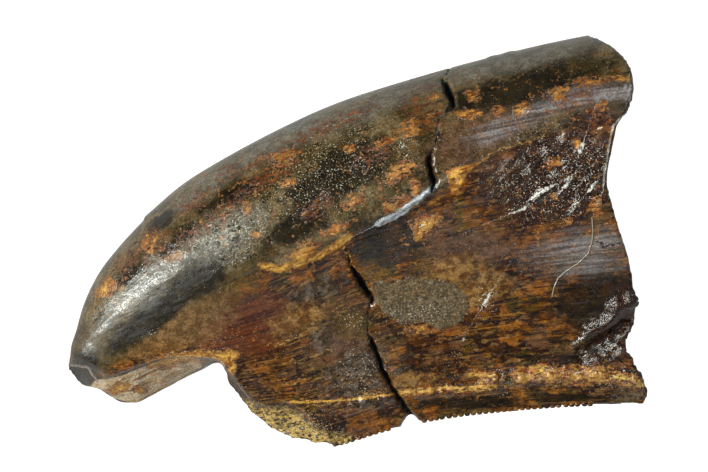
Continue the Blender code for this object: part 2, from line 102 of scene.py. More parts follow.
def apply_modifier(piece, name, kind, **settings):
    """Add a modifier with its settings and apply it at once."""
    take(piece)
    step = piece.modifiers.new(name, kind)
    for setting, value in settings.items():
        setattr(step, setting, value)
    bpy.ops.object.modifier_apply(modifier=step.name)


def get_points(piece):
    """The vertices of a piece in millimetres, one row each."""
    flat = np.empty(len(piece.data.vertices) * 3)
    piece.data.vertices.foreach_get("co", flat)
    return flat.reshape(-1, 3) / MM


def set_points(piece, points):
    piece.data.vertices.foreach_set("co", (points * MM).reshape(-1))
    piece.data.update()


def get_normals(piece):
    flat = np.empty(len(piece.data.vertices) * 3)
    piece.data.vertices.foreach_get("normal", flat)
    return flat.reshape(-1, 3)


def roll_up(name, rows):
    """A closed form from rows of points round it: a flat grid, rolled up and filled."""
    take(next(iter(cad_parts.values())))
    bpy.ops.object.select_all(action="DESELECT")
    rows = np.array(rows, dtype=float)
    rows = np.concatenate([rows, rows[:, :1]], axis=1)
    down, across = rows.shape[0] - 1, rows.shape[1] - 1
    bpy.ops.mesh.primitive_grid_add(x_subdivisions=across, y_subdivisions=down, size=1)
    piece = bpy.context.object
    piece.name = name
    flat = get_points(piece) * MM
    column = np.rint((flat[:, 0] + 0.5) * across).astype(int)
    row = np.rint((flat[:, 1] + 0.5) * down).astype(int)
    set_points(piece, rows[row, column])
    bpy.ops.object.mode_set(mode="EDIT")
    bpy.ops.mesh.select_all(action="SELECT")
    bpy.ops.mesh.remove_doubles(threshold=WELD * MM)
    bpy.ops.mesh.select_all(action="DESELECT")
    bpy.ops.mesh.select_non_manifold()
    bpy.ops.mesh.edge_face_add()
    bpy.ops.mesh.select_all(action="SELECT")
    bpy.ops.mesh.normals_make_consistent(inside=False)
    bpy.ops.object.mode_set(mode="OBJECT")
    return piece


# %% [markdown]
# ## The crown
# A meat eater's tooth is a flattened, curved cone: thick and rounded along its front edge,
# thin as a blade along its saw edge. It could be sculpted, or lofted from cross-sections.
# The cross-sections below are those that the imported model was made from, so the crown has
# the same size. A smooth curve runs through them, and each one is an oval near the tip and
# a teardrop near the root. The grid that is rolled round them is fine enough to look round.

# %% Ribs of the crown
# x and y of the front edge, x and y of the saw edge, thickness, thinning towards the saw
# edge, and height of the underside
RIBS = np.array([
    (-15.87, -6.33, -15.29, -7.87, 2.1, 0.50, 2.50),
    (-15.79, -5.67, -14.57, -8.36, 3.1, 0.55, 2.10),
    (-15.51, -4.84, -13.53, -8.90, 3.9, 0.62, 1.75),
    (-15.05, -3.30, -11.99, -9.50, 4.9, 0.72, 1.30),
    (-14.22, -1.65, -10.06, -10.18, 6.0, 0.85, 0.85),
    (-13.03, -0.14, -7.97, -10.73, 6.9, 0.98, 0.60),
    (-11.59, 1.38, -5.67, -11.12, 7.6, 1.08, 0.38),
    (-9.77, 3.05, -3.46, -11.27, 8.1, 1.15, 0.22),
    (-7.57, 4.46, -1.26, -11.17, 8.5, 1.20, 0.12),
    (-4.27, 6.22, 1.49, -10.36, 8.9, 1.22, 0.05),
    (-0.99, 7.68, 4.51, -9.70, 9.1, 1.22, 0.02),
    (3.41, 9.08, 8.09, -9.26, 9.3, 1.22, 0.02),
    (7.81, 10.27, 11.66, -8.98, 9.4, 1.22, 0.04),
    (11.94, 11.20, 14.96, -8.90, 9.4, 1.22, 0.10),
    (16.06, 11.88, 18.26, -8.88, 9.4, 1.22, 0.16),
])
TIP = (-16.25, -7.35, 3.4)
# How far the saw edge hangs below the front edge at the root and at the tip, and how soon
SAW_EDGE_DROP, SAW_EDGE_DROP_TIP, DROP_GROWTH = 3.1, 0.9, 1.6
# The edge keeps a thickness of its own, rounded at its end and faded in from the front
SAW_EDGE_HALF_THICKNESS, SAW_EDGE_ROUNDING, SAW_EDGE_FADE = 0.16, 0.02, 4
# How far the skin reaches past the ends of the ribs, in millimetres
SAW_EDGE_REACH = 0.20
# The hidden face is flatter, and the front edge's middle lies at a share of the thickness
HIDDEN_FULLNESS, HIDDEN_FULLEST, NOSE_HEIGHT = 0.82, 0.44, 0.48
# Rings from tip to root, steps across each face, and how far they crowd at the front edge
RINGS, STEPS, CROWDING = 168, 44, 1.7


def ribs_at(progress):
    """The ribs' numbers at each progress from tip (0) to root (1), on a smooth curve."""
    last = len(RIBS) - 1
    place = np.clip(progress, 0, 1) * last
    start = np.minimum(place.astype(int), last - 1)
    t = (place - start)[:, None]
    first, end = 2 * RIBS[0] - RIBS[1], 2 * RIBS[last] - RIBS[last - 1]
    rows = np.vstack([first, RIBS, end])
    before, here, there, after = (rows[start + step] for step in range(4))
    bend = 2 * before - 5 * here + 4 * there - after
    twist = 3 * here - before - 3 * there + after
    return here + 0.5 * t * ((there - before) + t * (bend + t * twist))


def skin_point(progress, share, side):
    """Points of the crown's skin: share runs front to saw edge, side is +1 up, -1 down."""
    front_x, front_y, saw_x, saw_y, thickness, thinning, underside = ribs_at(progress).T
    grown = np.minimum(progress * DROP_GROWTH, 1.0)
    drop = SAW_EDGE_DROP_TIP + (SAW_EDGE_DROP - SAW_EDGE_DROP_TIP) * grown
    nose = underside + HIDDEN_FULLEST * drop + NOSE_HEIGHT * thickness
    thinning = np.where(side > 0, thinning, thinning * HIDDEN_FULLNESS)
    fullest = 0.5 / (0.5 + thinning)
    peak = np.sqrt(fullest) * (1 - fullest) ** thinning
    half = 0.5 * thickness * np.sqrt(share) * (1 - share) ** thinning / peak
    rounded = np.sqrt(np.minimum(1, (1 - share) / SAW_EDGE_ROUNDING))
    edge = SAW_EDGE_HALF_THICKNESS * rounded * np.minimum(1, share * SAW_EDGE_FADE)
    reach = 1 + SAW_EDGE_REACH / np.hypot(saw_x - front_x, saw_y - front_y)
    x = front_x + (saw_x - front_x) * share * reach
    y = front_y + (saw_y - front_y) * share * reach
    return np.stack([x, y, nose - drop * share + side * (half + edge)], axis=-1)


def grown_at(x, y):
    """Progress and share of the crown at places seen from above."""
    low, high = np.zeros(len(x)), np.ones(len(x))
    for _ in range(24):
        middle = (low + high) / 2
        front_x, front_y, saw_x, saw_y = ribs_at(middle).T[:4]
        beyond = (saw_x - front_x) * (y - front_y) - (saw_y - front_y) * (x - front_x) > 0
        low, high = np.where(beyond, middle, low), np.where(beyond, high, middle)
    run_x, run_y = saw_x - front_x, saw_y - front_y
    share = ((x - front_x) * run_x + (y - front_y) * run_y) / (run_x**2 + run_y**2)
    return middle, np.clip(share, 0, 1)


# %% Roll up the crown
around = np.linspace(-1, 1, 2 * STEPS + 1)[:-1]
share, side = np.abs(around) ** CROWDING, np.where(around > 0, 1, -1)
rows = [skin_point(np.full(len(around), ring / RINGS), share, side) for ring in range(RINGS + 1)]
crown = roll_up("crown", rows)
bpy.ops.object.mode_set(mode="EDIT")
bpy.ops.mesh.select_all(action="DESELECT")
bpy.ops.object.mode_set(mode="OBJECT")
tip_face = min(crown.data.polygons, key=lambda face: face.center.x - 10 * (len(face.vertices) > 4))
tip_face.select = True
bpy.ops.object.mode_set(mode="EDIT")
bpy.ops.mesh.select_mode(type="FACE")
bpy.ops.mesh.poke()
bpy.ops.mesh.select_mode(type="VERT")
bpy.ops.object.mode_set(mode="OBJECT")
crown.data.vertices[-1].co = Vector(TIP) * MM
bpy.context.view_layer.update()
whole_skin = BVHTree.FromObject(crown, bpy.context.evaluated_depsgraph_get())
tip = [round(value / MM, 2) for value in crown.data.vertices[-1].co]
print("crown", len(crown.data.vertices), "vertices, tip at", tip)

# %% [markdown]
# ## What broke off
# Four breaks shape the crown: the lost stretch of saw edge beside the tip, the hollow
# break at the root, the worn point, and the nick where the crack runs out. Each is cut
# with a Boolean, as one would saw a plaster cast. The cutters are rolled up too, from the
# outline of each break on the seen face and on the hidden one.

# %% Outlines of the breaks
LOST_EDGE_RIM = [
    (-14.41, -7.75, 4.6), (-13.09, -7.26, 5.0), (-11.99, -6.82, 5.2), (-10.89, -6.43, 5.2),
    (-9.79, -6.27, 5.2), (-8.69, -6.33, 5.2), (-7.70, -6.38, 5.2), (-7.37, -6.71, 5.0),
    (-6.82, -7.37, 4.6), (-6.54, -7.92, 4.4), (-6.00, -8.53, 4.1), (-5.78, -8.96, 3.9),
    (-4.84, -9.07, 3.8), (-3.85, -8.91, 3.8), (-2.92, -9.40, 3.6), (-2.31, -10.23, 3.1),
    (-1.81, -10.89, 2.7), (-1.32, -11.30, 2.5), (-0.71, -13.64, 2.5), (-18.00, -13.64, 4.6),
    (-18.00, -8.00, 4.6),
]
LOST_EDGE_FOOT = [
    (-14.50, -8.00, 2.9), (-13.15, -8.92, 2.6), (-12.10, -8.90, 2.6), (-10.82, -8.18, 2.5),
    (-9.72, -7.62, 2.4), (-8.62, -7.04, 2.4), (-7.72, -6.56, 2.4), (-7.50, -6.80, 2.4),
    (-7.15, -7.52, 2.3), (-6.98, -8.08, 2.3), (-6.38, -8.72, 2.3), (-6.08, -9.08, 2.3),
    (-5.40, -9.88, 2.2), (-4.38, -10.56, 2.1), (-3.64, -11.15, 2.0), (-2.78, -11.62, 1.9),
    (-2.15, -11.66, 1.9), (-1.54, -11.80, 1.9), (-0.71, -13.64, 1.9), (-18.00, -13.64, 2.7),
    (-18.00, -8.30, 2.9),
]
ROOT_BREAK = [
    (12.65, 11.40), (13.40, 10.94), (13.95, 10.61), (14.50, 10.11), (14.88, 9.57), (15.11, 8.96),
    (15.16, 8.25), (14.99, 7.54), (14.61, 6.88), (14.22, 6.27), (14.01, 5.33), (13.79, 4.24),
    (13.68, 3.41), (13.73, 2.86), (14.01, 2.04), (14.22, 1.21), (14.55, 0.28), (14.88, -0.71),
    (15.11, -1.65), (15.27, -2.92), (15.32, -3.74), (15.27, -4.57), (14.94, -5.20), (14.84, -5.80),
    (15.24, -6.40), (15.49, -7.04), (15.77, -7.59), (15.98, -8.03), (16.05, -8.40), (15.90, -8.75),
    (15.50, -9.20),
]
CRACK_NICK = [
    (2.30, -11.2), (2.38, -10.25), (2.62, -9.72), (2.97, -9.34), (3.20, -9.65), (3.44, -10.05),
    (3.58, -11.2),
]
BELOW, ABOVE = -3.0, 14.0
ROOT_HOLLOW_DEPTH, ROOT_HOLLOW_ENDS = 1.9, 2.4
# Share of the way down the break, and share of the hollow's depth there
ROOT_HOLLOW = [(-0.06, 0.0), (0.08, 0.08), (0.26, 0.60), (0.52, 1.0), (0.78, 0.72), (1.04, 0.35)]


def at_height(outline, height):
    return [(spot[0], spot[1], height) for spot in outline]


def cutter_from(name, outlines):
    """A cutter through outlines of equal length, lowest first, in flat triangles."""
    cutter = roll_up(name, outlines)
    bpy.ops.object.mode_set(mode="EDIT")
    bpy.ops.mesh.quads_convert_to_tris()
    bpy.ops.object.mode_set(mode="OBJECT")
    return cutter


# %% Cutters for the edge and the nick
foot, rim = at_height(LOST_EDGE_FOOT, BELOW), at_height(LOST_EDGE_RIM, ABOVE)
lost_edge = cutter_from("lost_edge", [foot, LOST_EDGE_FOOT, LOST_EDGE_RIM, rim])
nick = cutter_from("nick", [at_height(CRACK_NICK, BELOW), at_height(CRACK_NICK, ABOVE)])
print("edge and nick cutters", len(lost_edge.data.polygons), len(nick.data.polygons), "faces")

# %% Cutter for the root end
RIM_INSET = 0.2
FAR = 30.0
# The hollow is at its full depth where the root is at least this thick
FULL_THICKNESS = 6.0
# The upper rim is nearer to the camera and looks larger, which this power takes back
RIM_CORRECTION = 0.6
# The cutter's outer corners: beyond the root, past the front edge, and where it starts
BEYOND_ROOT, PAST_FRONT, FRONT_CORNER = 22.0, 2.0, 12.6


def rim_heights(x, y):
    """Height of the seen and the hidden face at a place, or None off the crown."""
    heights = []
    for start, way in (FAR, -1), (-FAR, 1):
        hit = whole_skin.ray_cast(Vector((x - RIM_INSET, y, start)) * MM, Vector((0, 0, way)))[0]
        if hit is None:
            return None
        heights.append(hit.z / MM)
    return heights


rims = [rim_heights(x, y) for x, y in ROOT_BREAK]
known = [rim for rim in rims if rim]
rims = [rim or known[0 if y > 0 else -1] for rim, (_, y) in zip(rims, ROOT_BREAK)]
front_y, back_y = ROOT_BREAK[0][1], ROOT_BREAK[-1][1]
side_y = front_y + PAST_FRONT
corners = [(BEYOND_ROOT, back_y), (BEYOND_ROOT, side_y), (FRONT_CORNER, side_y)]
outlines = []
for down, hollow in reversed(ROOT_HOLLOW):
    outline = []
    for (x, y), (top, bottom) in zip(ROOT_BREAK, rims):
        ends = min(1.0, max(0.0, min(front_y - y, y - back_y) / ROOT_HOLLOW_ENDS))
        deep = ROOT_HOLLOW_DEPTH * hollow * ends * min(1.0, (top - bottom) / FULL_THICKNESS)
        x = x / nearness_of(top) ** RIM_CORRECTION - deep
        outline.append((x, y, top + (bottom - top) * down))
    level = sum(spot[2] for spot in outline) / len(outline)
    outlines.append(outline + at_height(corners, level))
root_end = cutter_from(
    "root_end", [at_height(outlines[0], BELOW), *outlines, at_height(outlines[-1], ABOVE)]
)
print("root cutter", len(root_end.data.polygons), "faces")

# %% Cutter for the worn point
TIP_FACET_CENTRE = Vector((-14.96, -7.45, 3.75))
TIP_FACET_NORMAL = Vector((-0.55, -0.80, 0.42)).normalized()
SLAB = 40.0
bpy.ops.object.select_all(action="DESELECT")
bpy.ops.mesh.primitive_cube_add(
    size=SLAB * MM,
    location=(TIP_FACET_CENTRE + TIP_FACET_NORMAL * SLAB / 2) * MM,
    rotation=TIP_FACET_NORMAL.to_track_quat("Z", "Y").to_euler(),
)
worn_point = bpy.context.object

# %% Cut them all
for cutter in (lost_edge, root_end, worn_point, nick):
    settings = {"operation": "DIFFERENCE", "object": cutter, "solver": "EXACT"}
    apply_modifier(crown, cutter.name, "BOOLEAN", **settings)
    bpy.data.objects.remove(cutter)
print("broken crown", len(crown.data.vertices), "vertices")

# %% [markdown]
# ## An even skin to work on
# A cut mesh has long thin faces that can't be worked finely. A voxel remesh gives it even
# square faces, like fresh clay. The seen face, which carries the finest forms, is then
# subdivided once more, and relaxed, so that its faces are about two pixels wide. The
# hidden face is thinned out, which keeps most faces for what the picture shows.

# %% Remesh, then refine the seen face
# Size of the clay's grain in millimetres
GRAIN = 0.213
# Up and down part of a normal, past which a face is seen or hidden
SEEN_TILT, HIDDEN_TILT = 0.05, -0.25
# Share of the hidden faces that is kept
HIDDEN_KEPT = 0.30
apply_modifier(crown, "grain", "REMESH", mode="VOXEL", voxel_size=GRAIN * MM)
tooth = crown
tooth.name = "fossil_tooth"


def select_faces(piece, chosen):
    """Select faces by a row of yes and no, ready for edit mode."""
    bpy.ops.object.mode_set(mode="EDIT")
    bpy.ops.mesh.select_mode(type="FACE")
    bpy.ops.mesh.select_all(action="DESELECT")
    bpy.ops.object.mode_set(mode="OBJECT")
    piece.data.polygons.foreach_set("select", chosen)
    bpy.ops.object.mode_set(mode="EDIT")


def face_normals(piece):
    flat = np.empty(len(piece.data.polygons) * 3)
    piece.data.polygons.foreach_get("normal", flat)
    return flat.reshape(-1, 3)


take(tooth)
print("clay", len(tooth.data.polygons), "faces, seen", (face_normals(tooth)[:, 2] > SEEN_TILT).sum())
select_faces(tooth, face_normals(tooth)[:, 2] < HIDDEN_TILT)
bpy.ops.mesh.decimate(ratio=HIDDEN_KEPT)
bpy.ops.object.mode_set(mode="OBJECT")
select_faces(tooth, face_normals(tooth)[:, 2] > SEEN_TILT)
bpy.ops.mesh.subdivide(number_cuts=1)
bpy.ops.mesh.select_mode(type="VERT")
bpy.ops.mesh.select_all(action="SELECT")
bpy.ops.mesh.vertices_smooth(factor=0.5, repeat=2)
bpy.ops.object.mode_set(mode="OBJECT")
triangles = sum(len(face.vertices) - 2 for face in tooth.data.polygons)
print("even skin", len(tooth.data.vertices), "vertices,", triangles, "triangles")

# %% [markdown]
# ## Forms of the surface
# Enamel still covers the thick front half, and ends in a low step. Below it the dentine
# shows. There is a ridge and a valley at the root corner, a line of crust above the saw
# edge, a rough patch, and a filled pit. All of them are low forms on a big one, so each
# vertex is moved along its normal by a height that is worked out from lines and ovals
# that are given below. The helpers give the distance to a line or an oval, in picture pixels.


# %% Distances and noise
def from_line(u, v, line):
    """Distance in pixels from a line of straight runs, and the side it lies on."""
    best, side = np.full(len(u), 1e9), np.zeros(len(u))
    for (au, av), (bu, bv) in zip(line, line[1:]):
        run_u, run_v = bu - au, bv - av
        along = np.clip(((u - au) * run_u + (v - av) * run_v) / (run_u**2 + run_v**2), 0, 1)
        off_u, off_v = u - au - along * run_u, v - av - along * run_v
        away = np.hypot(off_u, off_v)
        nearer = away < best
        best[nearer] = away[nearer]
        side[nearer] = np.sign(run_v * off_u - run_u * off_v)[nearer]
    return best, side


def from_oval(u, v, oval):
    """1 in the middle of an oval, 0 on its rim and less outside."""
    centre_u, centre_v, radius_u, radius_v, turn = oval
    turn = math.radians(turn)
    right = (u - centre_u) * math.cos(turn) - (v - centre_v) * math.sin(turn)
    down = (u - centre_u) * math.sin(turn) + (v - centre_v) * math.cos(turn)
    return 1 - np.hypot(right / radius_u, down / radius_v)


def from_patch(u, v, corners, reach):
    """Like from_oval, for a patch with corners: reach is the width of its soft rim."""
    away, _ = from_line(u, v, corners + corners[:1])
    inside = np.zeros(len(u), dtype=bool)
    for (au, av), (bu, bv) in zip(corners, corners[1:] + corners[:1]):
        crosses = (av > v) != (bv > v)
        run = (bu - au) / (bv - av) if bv != av else 0.0
        inside ^= crosses & (u < au + run * (v - av))
    return np.clip(np.where(inside, away, -away) / reach, -1, 1)


def ramp(value, low, high):
    t = np.clip((value - low) / (high - low), 0, 1)
    return t * t * (3 - 2 * t)


def lumps(points, size, shift=0.0):
    """Smooth noise between -1 and 1, with lumps of about the given size."""
    offset = Vector((shift, 2 * shift, -shift))
    return np.array([noise.noise(Vector(point) / size + offset) for point in points])


# %% Lines and ovals of the relief, in picture pixels
ENAMEL_EDGE = [
    (238, 278), (262, 268), (285, 266), (305, 262), (320, 250), (350, 235), (383, 221), (400, 210),
    (430, 193), (450, 185), (475, 165), (500, 152), (540, 138), (580, 125), (616, 117),
]
ROOT_RIDGE = [(636, 298), (620, 305), (610, 318), (590, 330), (578, 346)]
ROOT_POCKET = [(612, 336), (622, 330), (634, 326)]
ROOT_VALLEY = [(641, 339), (616, 343), (592, 351), (582, 354)]
CRUST = [
    (345, 406), (400, 391), (452, 387), (490, 383), (520, 376), (550, 375), (602, 373), (638, 378),
]
FRONT_RIDGE = [(531, 111), (565, 98), (616, 86)]
ROUGH_OVAL, ROOT_ROUGH_OVAL = (562, 173, 65, 47, 0), (607, 350, 34, 13, 8)
CRUMB = [
    (246, 398), (268, 406), (285, 405), (300, 412), (312, 424), (330, 432), (352, 432), (352, 447),
    (240, 450),
]
GLOSS_RIDGE = [(378, 224), (392, 217), (402, 212), (411, 204), (421, 197), (431, 189)]
FILLER = [
    (371, 283), (382, 279), (395, 281), (410, 277), (425, 280), (442, 280), (457, 287), (467, 297),
    (469, 309), (462, 320), (452, 326), (440, 330), (432, 325), (420, 323), (401, 324), (392, 317),
    (382, 310), (375, 302),
]
# The step where the enamel ends: height, half width, and how far it fades out, in millimetres
ENAMEL_STEP, ENAMEL_STEP_WIDTH, ENAMEL_FADE = 0.30, 0.18, 2.2
# Banks: line, height or depth below the skin, half width in millimetres, and unevenness
BANKS = [
    (ROOT_RIDGE, 0.35, 0.42, 0), (ROOT_VALLEY, -0.55, 0.48, 0), (CRUST, 0.26, 0.36, 1),
    (FRONT_RIDGE, 0.24, 0.30, 0), (GLOSS_RIDGE, 0.20, 0.13, 0), (ROOT_POCKET, -0.45, 0.30, 0),
]
# Flakes of the front edge, in millimetres of x: where they rise and end, and their height
LIP_RISE, LIP_FADE, LIP_HEIGHT = (-11.80, -11.60), 0.9, 0.10
FLAKE_RISE, FLAKE_END, FLAKE_HEIGHT = (6.9, 7.2), (8.7, 8.4), 0.04


def bank(u, v, line, height, half_width):
    """A rounded bank or, with a height below 0, a trench along a line."""
    away, _ = from_line(u, v, line)
    return height * np.exp(-((away * PIXEL / half_width) ** 2))


def jitter(points, size, reach, shift):
    """Push picture places to and fro by up to a few pixels, so that edges turn ragged."""
    return reach * (lumps(points, size, shift) + 0.6 * lumps(points, size / 3, shift + 1))


def drawn_out(points, length, width, turn, shift):
    """Lumps that are drawn out along a direction, given in degrees from +X."""
    turn = math.radians(turn)
    along = points[:, 0] * math.cos(turn) + points[:, 1] * math.sin(turn)
    across = points[:, 1] * math.cos(turn) - points[:, 0] * math.sin(turn)
    drawn = np.stack([along / length, across / width, points[:, 2] / width], axis=-1)
    return lumps(drawn, 1.0, shift)


def seen_relief(points, u, v):
    """Height of the forms of the seen face at each point, in millimetres."""
    coarse, fine = lumps(points, 1.1), lumps(points, 0.35, 4.0)
    u, v = u + jitter(points, 1.2, 3.5, 21.0), v + jitter(points, 1.2, 3.5, 23.0)
    away, side = from_line(u, v, ENAMEL_EDGE)
    away = away * PIXEL
    step = ENAMEL_STEP / 2 * np.tanh(side * away / ENAMEL_STEP_WIDTH)
    height = step * np.exp(-away / ENAMEL_FADE)
    for line, rise, half_width, uneven in BANKS:
        unevenness = 1 + uneven * (0.8 * coarse + 0.7 * fine)
        height += bank(u, v, line, rise, half_width) * unevenness
    rough = ramp(from_oval(u, v, ROUGH_OVAL), -0.15, 0.25)
    rough = np.maximum(rough, ramp(from_oval(u, v, ROOT_ROUGH_OVAL), 0.0, 0.4))
    rows_of_lumps = drawn_out(points, 0.7, 0.28, 36, 9.0)
    height += rough * (0.12 * lumps(points, 0.75, 7.0) + 0.12 * rows_of_lumps)
    filled = ramp(from_patch(u, v, FILLER, 4), -0.5, 0.8)
    height += filled * (0.03 + 0.07 * lumps(points, 0.3, 15.0) + 0.04 * lumps(points, 0.8, 16.0))
    return height + 0.03 * coarse + 0.008 * fine


def front_relief(points):
    """Two flakes that stand up a little on the front edge."""
    x = points[:, 0]
    lip = LIP_HEIGHT * ramp(x, *LIP_RISE) * np.exp(-np.maximum(x - LIP_RISE[1], 0) / LIP_FADE)
    flake = FLAKE_HEIGHT * ramp(x, *FLAKE_RISE) * ramp(x, *FLAKE_END)
    return lip + flake * (1 + lumps(points, 0.4, 17.0))


# %% [markdown]
# The broken faces are rough, the split beside the tip is smoother, and the hidden face
# gently uneven. How broken a vertex is follows from its depth under the whole crown.

# %% Work the surface
# Stretch of the lost edge that crumbled, in millimetres of x: where it starts and ends
CRUMBLY_START, CRUMBLY_END = (-7.8, -6.6), (1.0, 0.0)


def depth_under_skin(points):
    """Distance of each point from the skin of the whole crown, in millimetres."""
    return np.array([whole_skin.find_nearest(Vector(point) * MM)[3] / MM for point in points])


points, normals = get_points(tooth), get_normals(tooth)
broken = ramp(depth_under_skin(points), 0.12, 0.40)
seen = ramp(normals[:, 2], 0.10, 0.50) * (1 - broken)
hidden = ramp(-normals[:, 2], 0.0, 0.4) * (1 - broken)
u, v = as_seen(points)
height = seen * seen_relief(points, u, v)
sideways = ramp(np.hypot(normals[:, 0], normals[:, 1]), 0.75, 0.95)
front = sideways * (normals[:, 1] > 0.2) * (1 - broken)
height += front * front_relief(points)
crumbly = ramp(points[:, 0], *CRUMBLY_START) * ramp(points[:, 0], *CRUMBLY_END)
large_lumps = lumps(points, 1.3, 3.0) + 0.7 * lumps(points, 0.6, 5.0)
height += broken * (0.05 + 0.15 * crumbly) * large_lumps
crumb = ramp(from_patch(u, v, CRUMB, 8), -0.6, 0.4) * ramp(normals[:, 2], 0.0, 0.4)
small_lumps = 0.10 * lumps(points, 0.32, 8.0) + 0.10 * lumps(points, 0.6, 9.0)
height += np.maximum(broken * crumbly, crumb) * small_lumps
height += hidden * 0.07 * (lumps(points, 1.8, 11.0) + 0.5 * lumps(points, 0.7, 13.0))
print("relief from", round(height.min(), 2), "to", round(height.max(), 2), "mm")

# %% [markdown]
# ## The crack
# A crack crosses the tooth and opens into black slots where its walls have moved apart. A
# wedge could be cut out with a Boolean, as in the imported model. Pressing the vertices in
# along the crack's line keeps the even skin, and lets the width change from place to place.

# %% Paths of the crack
# Place in the picture, width in pixels and depth in millimetres
CRACK_UPPER = [
    (442, 79, 3, 0.15), (446, 85, 6, 0.55), (450, 94, 7.5, 0.65), (453, 105, 5, 0.5),
    (446, 112, 1.6, 0.15), (438, 122, 1.6, 0.15), (439, 140, 1.6, 0.15), (433, 150, 2, 0.2),
    (428, 158, 5, 0.6), (430, 170, 5.5, 0.7), (434, 181, 5, 0.6), (431, 191, 3, 0.3),
]
CRACK_LOWER = [
    (347, 251, 1.5, 0.15), (352, 268, 3, 0.3), (357, 277, 6, 0.6), (365, 289, 6.5, 0.7),
    (373, 302, 4, 0.45), (367, 316, 1.5, 0.12), (368, 335, 1.5, 0.15), (373, 344, 4, 0.5),
    (378, 356, 5, 0.6), (383, 371, 5, 0.6), (391, 386, 5.5, 0.5), (398, 396, 5, 0.45),
    (404, 407, 5, 0.4), (410, 414, 5, 0.3),
]
# Raggedness of its walls: size in millimetres and reach in pixels. Then each slot of the
# seen face, and how much wider it is than drawn
CRACK_RAGGED = (0.45, 2.2)
CRACK_SLOTS = [(CRACK_UPPER, 1.1), (CRACK_LOWER, 1.05)]
# Places on the front edge (x and z) and on the hidden face (x and y), width and depth, in mm
FRONT_CRACK = [(5.45, 1.2), (5.20, 2.6), (5.30, 3.8), (5.00, 5.0), (5.05, 6.2), (4.80, 7.6)]
HIDDEN_CRACK = [
    (5.35, 8.3), (5.00, 6.8), (4.30, 5.0), (3.90, 3.2), (3.20, 1.0), (2.00, -0.8), (0.90, -2.6),
    (0.80, -4.6), (1.30, -6.6), (2.20, -8.2), (2.80, -9.3),
]
FRONT_PATH = [(x, z, 0.12, 0.05) for x, z in FRONT_CRACK]
HIDDEN_PATH = [(x, y, 0.26, 0.40) for x, y in HIDDEN_CRACK]


def slot(u, v, path, scale=1.0):
    """Depth of the slot at each place, and how far inside it is: 1 middle, 0 rim."""
    depth, inside = np.zeros(len(u)), np.full(len(u), -1.0)
    for (au, av, width, deep), (bu, bv, next_width, next_deep) in zip(path, path[1:]):
        run_u, run_v = bu - au, bv - av
        along = np.clip(((u - au) * run_u + (v - av) * run_v) / (run_u**2 + run_v**2), 0, 1)
        away = np.hypot(u - au - along * run_u, v - av - along * run_v)
        half = (width + (next_width - width) * along) / 2 * scale
        here = 1 - away / half
        depth = np.maximum(depth, (deep + (next_deep - deep) * along) * ramp(here, -0.35, 0.45))
        inside = np.maximum(inside, np.clip(here, -1, 1))
    return depth, inside


def seen_crack(points, u, v):
    """Depth and inside of the slots of the seen face, with ragged walls."""
    ragged_u = u + jitter(points, *CRACK_RAGGED, 31.0)
    ragged_v = v + jitter(points, *CRACK_RAGGED, 33.0)
    return np.max([slot(ragged_u, ragged_v, path, wider) for path, wider in CRACK_SLOTS], axis=0)


# %% Press the crack in
on_front = (normals[:, 1] > 0.5) & (normals[:, 2] < 0.6)
seen_depth = np.where(normals[:, 2] > SEEN_TILT, seen_crack(points, u, v)[0], 0)
front_depth = np.where(on_front, slot(points[:, 0], points[:, 2], FRONT_PATH)[0], 0)
hidden_depth = slot(points[:, 0], points[:, 1], HIDDEN_PATH)[0] * (normals[:, 2] < -0.2)
height -= seen_depth + front_depth + hidden_depth
points = points + normals * height[:, None]
points[:, 2] = np.maximum(points[:, 2], 0)
set_points(tooth, points)
print("deepest crack", round(seen_depth.max(), 2), "mm")

# %% [markdown]
# ## Denticles
# The saw edge carries small chisels, about three to a millimetre, on the two stretches
# that are left. One is modelled as a bevelled block, copied along the edge, and all of
# them are joined to the tooth with a Boolean union, so that the piece stays one solid.

# %% One chisel
# In millimetres: spacing, width, how far it stands out of the edge and into it, height, bevel
PITCH, WIDTH, REACH, ROOT, TALL, BEVEL = 0.341, 0.32, 0.12, 0.40, 0.42, 0.12
EDGE_LOST = 0.05
# Stretches of the saw edge that still have them, in millimetres of x
DENTICLE_STRETCHES = [(-1.45, 2.0), (3.65, 13.2)]
bpy.ops.object.select_all(action="DESELECT")
bpy.ops.mesh.primitive_cube_add(size=1)
chisel = bpy.context.object
chisel.scale = (WIDTH * MM, (REACH + ROOT) * MM, TALL * MM)
bpy.ops.object.transform_apply(location=False, rotation=False, scale=True)
outwards = (REACH - ROOT) / 2 - SAW_EDGE_REACH + EDGE_LOST
chisel.data.transform(Matrix.Translation((0, outwards * MM, 0)))
apply_modifier(chisel, "round", "BEVEL", width=BEVEL * MM, segments=2, limit_method="ANGLE")
print("chisel", len(chisel.data.polygons), "faces")

# %% Copy it along the saw edge
EDGE_SPOTS = 601
at_edge = np.ones(EDGE_SPOTS)
edge = skin_point(np.linspace(0, 1, EDGE_SPOTS), at_edge, at_edge)
travelled, chisels = 0.0, []
for spot, next_spot in zip(edge, edge[1:]):
    travelled += np.linalg.norm(next_spot - spot)
    if travelled < PITCH:
        continue
    travelled -= PITCH
    if not any(low <= spot[0] <= high for low, high in DENTICLE_STRETCHES):
        continue
    copy = chisel.copy()
    copy.data = chisel.data.copy()
    bpy.context.scene.collection.objects.link(copy)
    along = next_spot - spot
    copy.rotation_euler = (0, 0, math.atan2(along[1], along[0]) + math.pi)
    copy.location = Vector(spot) * MM
    chisels.append(copy)
bpy.data.objects.remove(chisel)
bpy.ops.object.select_all(action="DESELECT")
for copy in chisels:
    copy.select_set(True)
bpy.context.view_layer.objects.active = chisels[0]
bpy.ops.object.transform_apply(location=True, rotation=True, scale=True)
bpy.ops.object.join()
row_of_chisels = bpy.context.object
settings = {"operation": "UNION", "object": row_of_chisels, "solver": "MANIFOLD"}
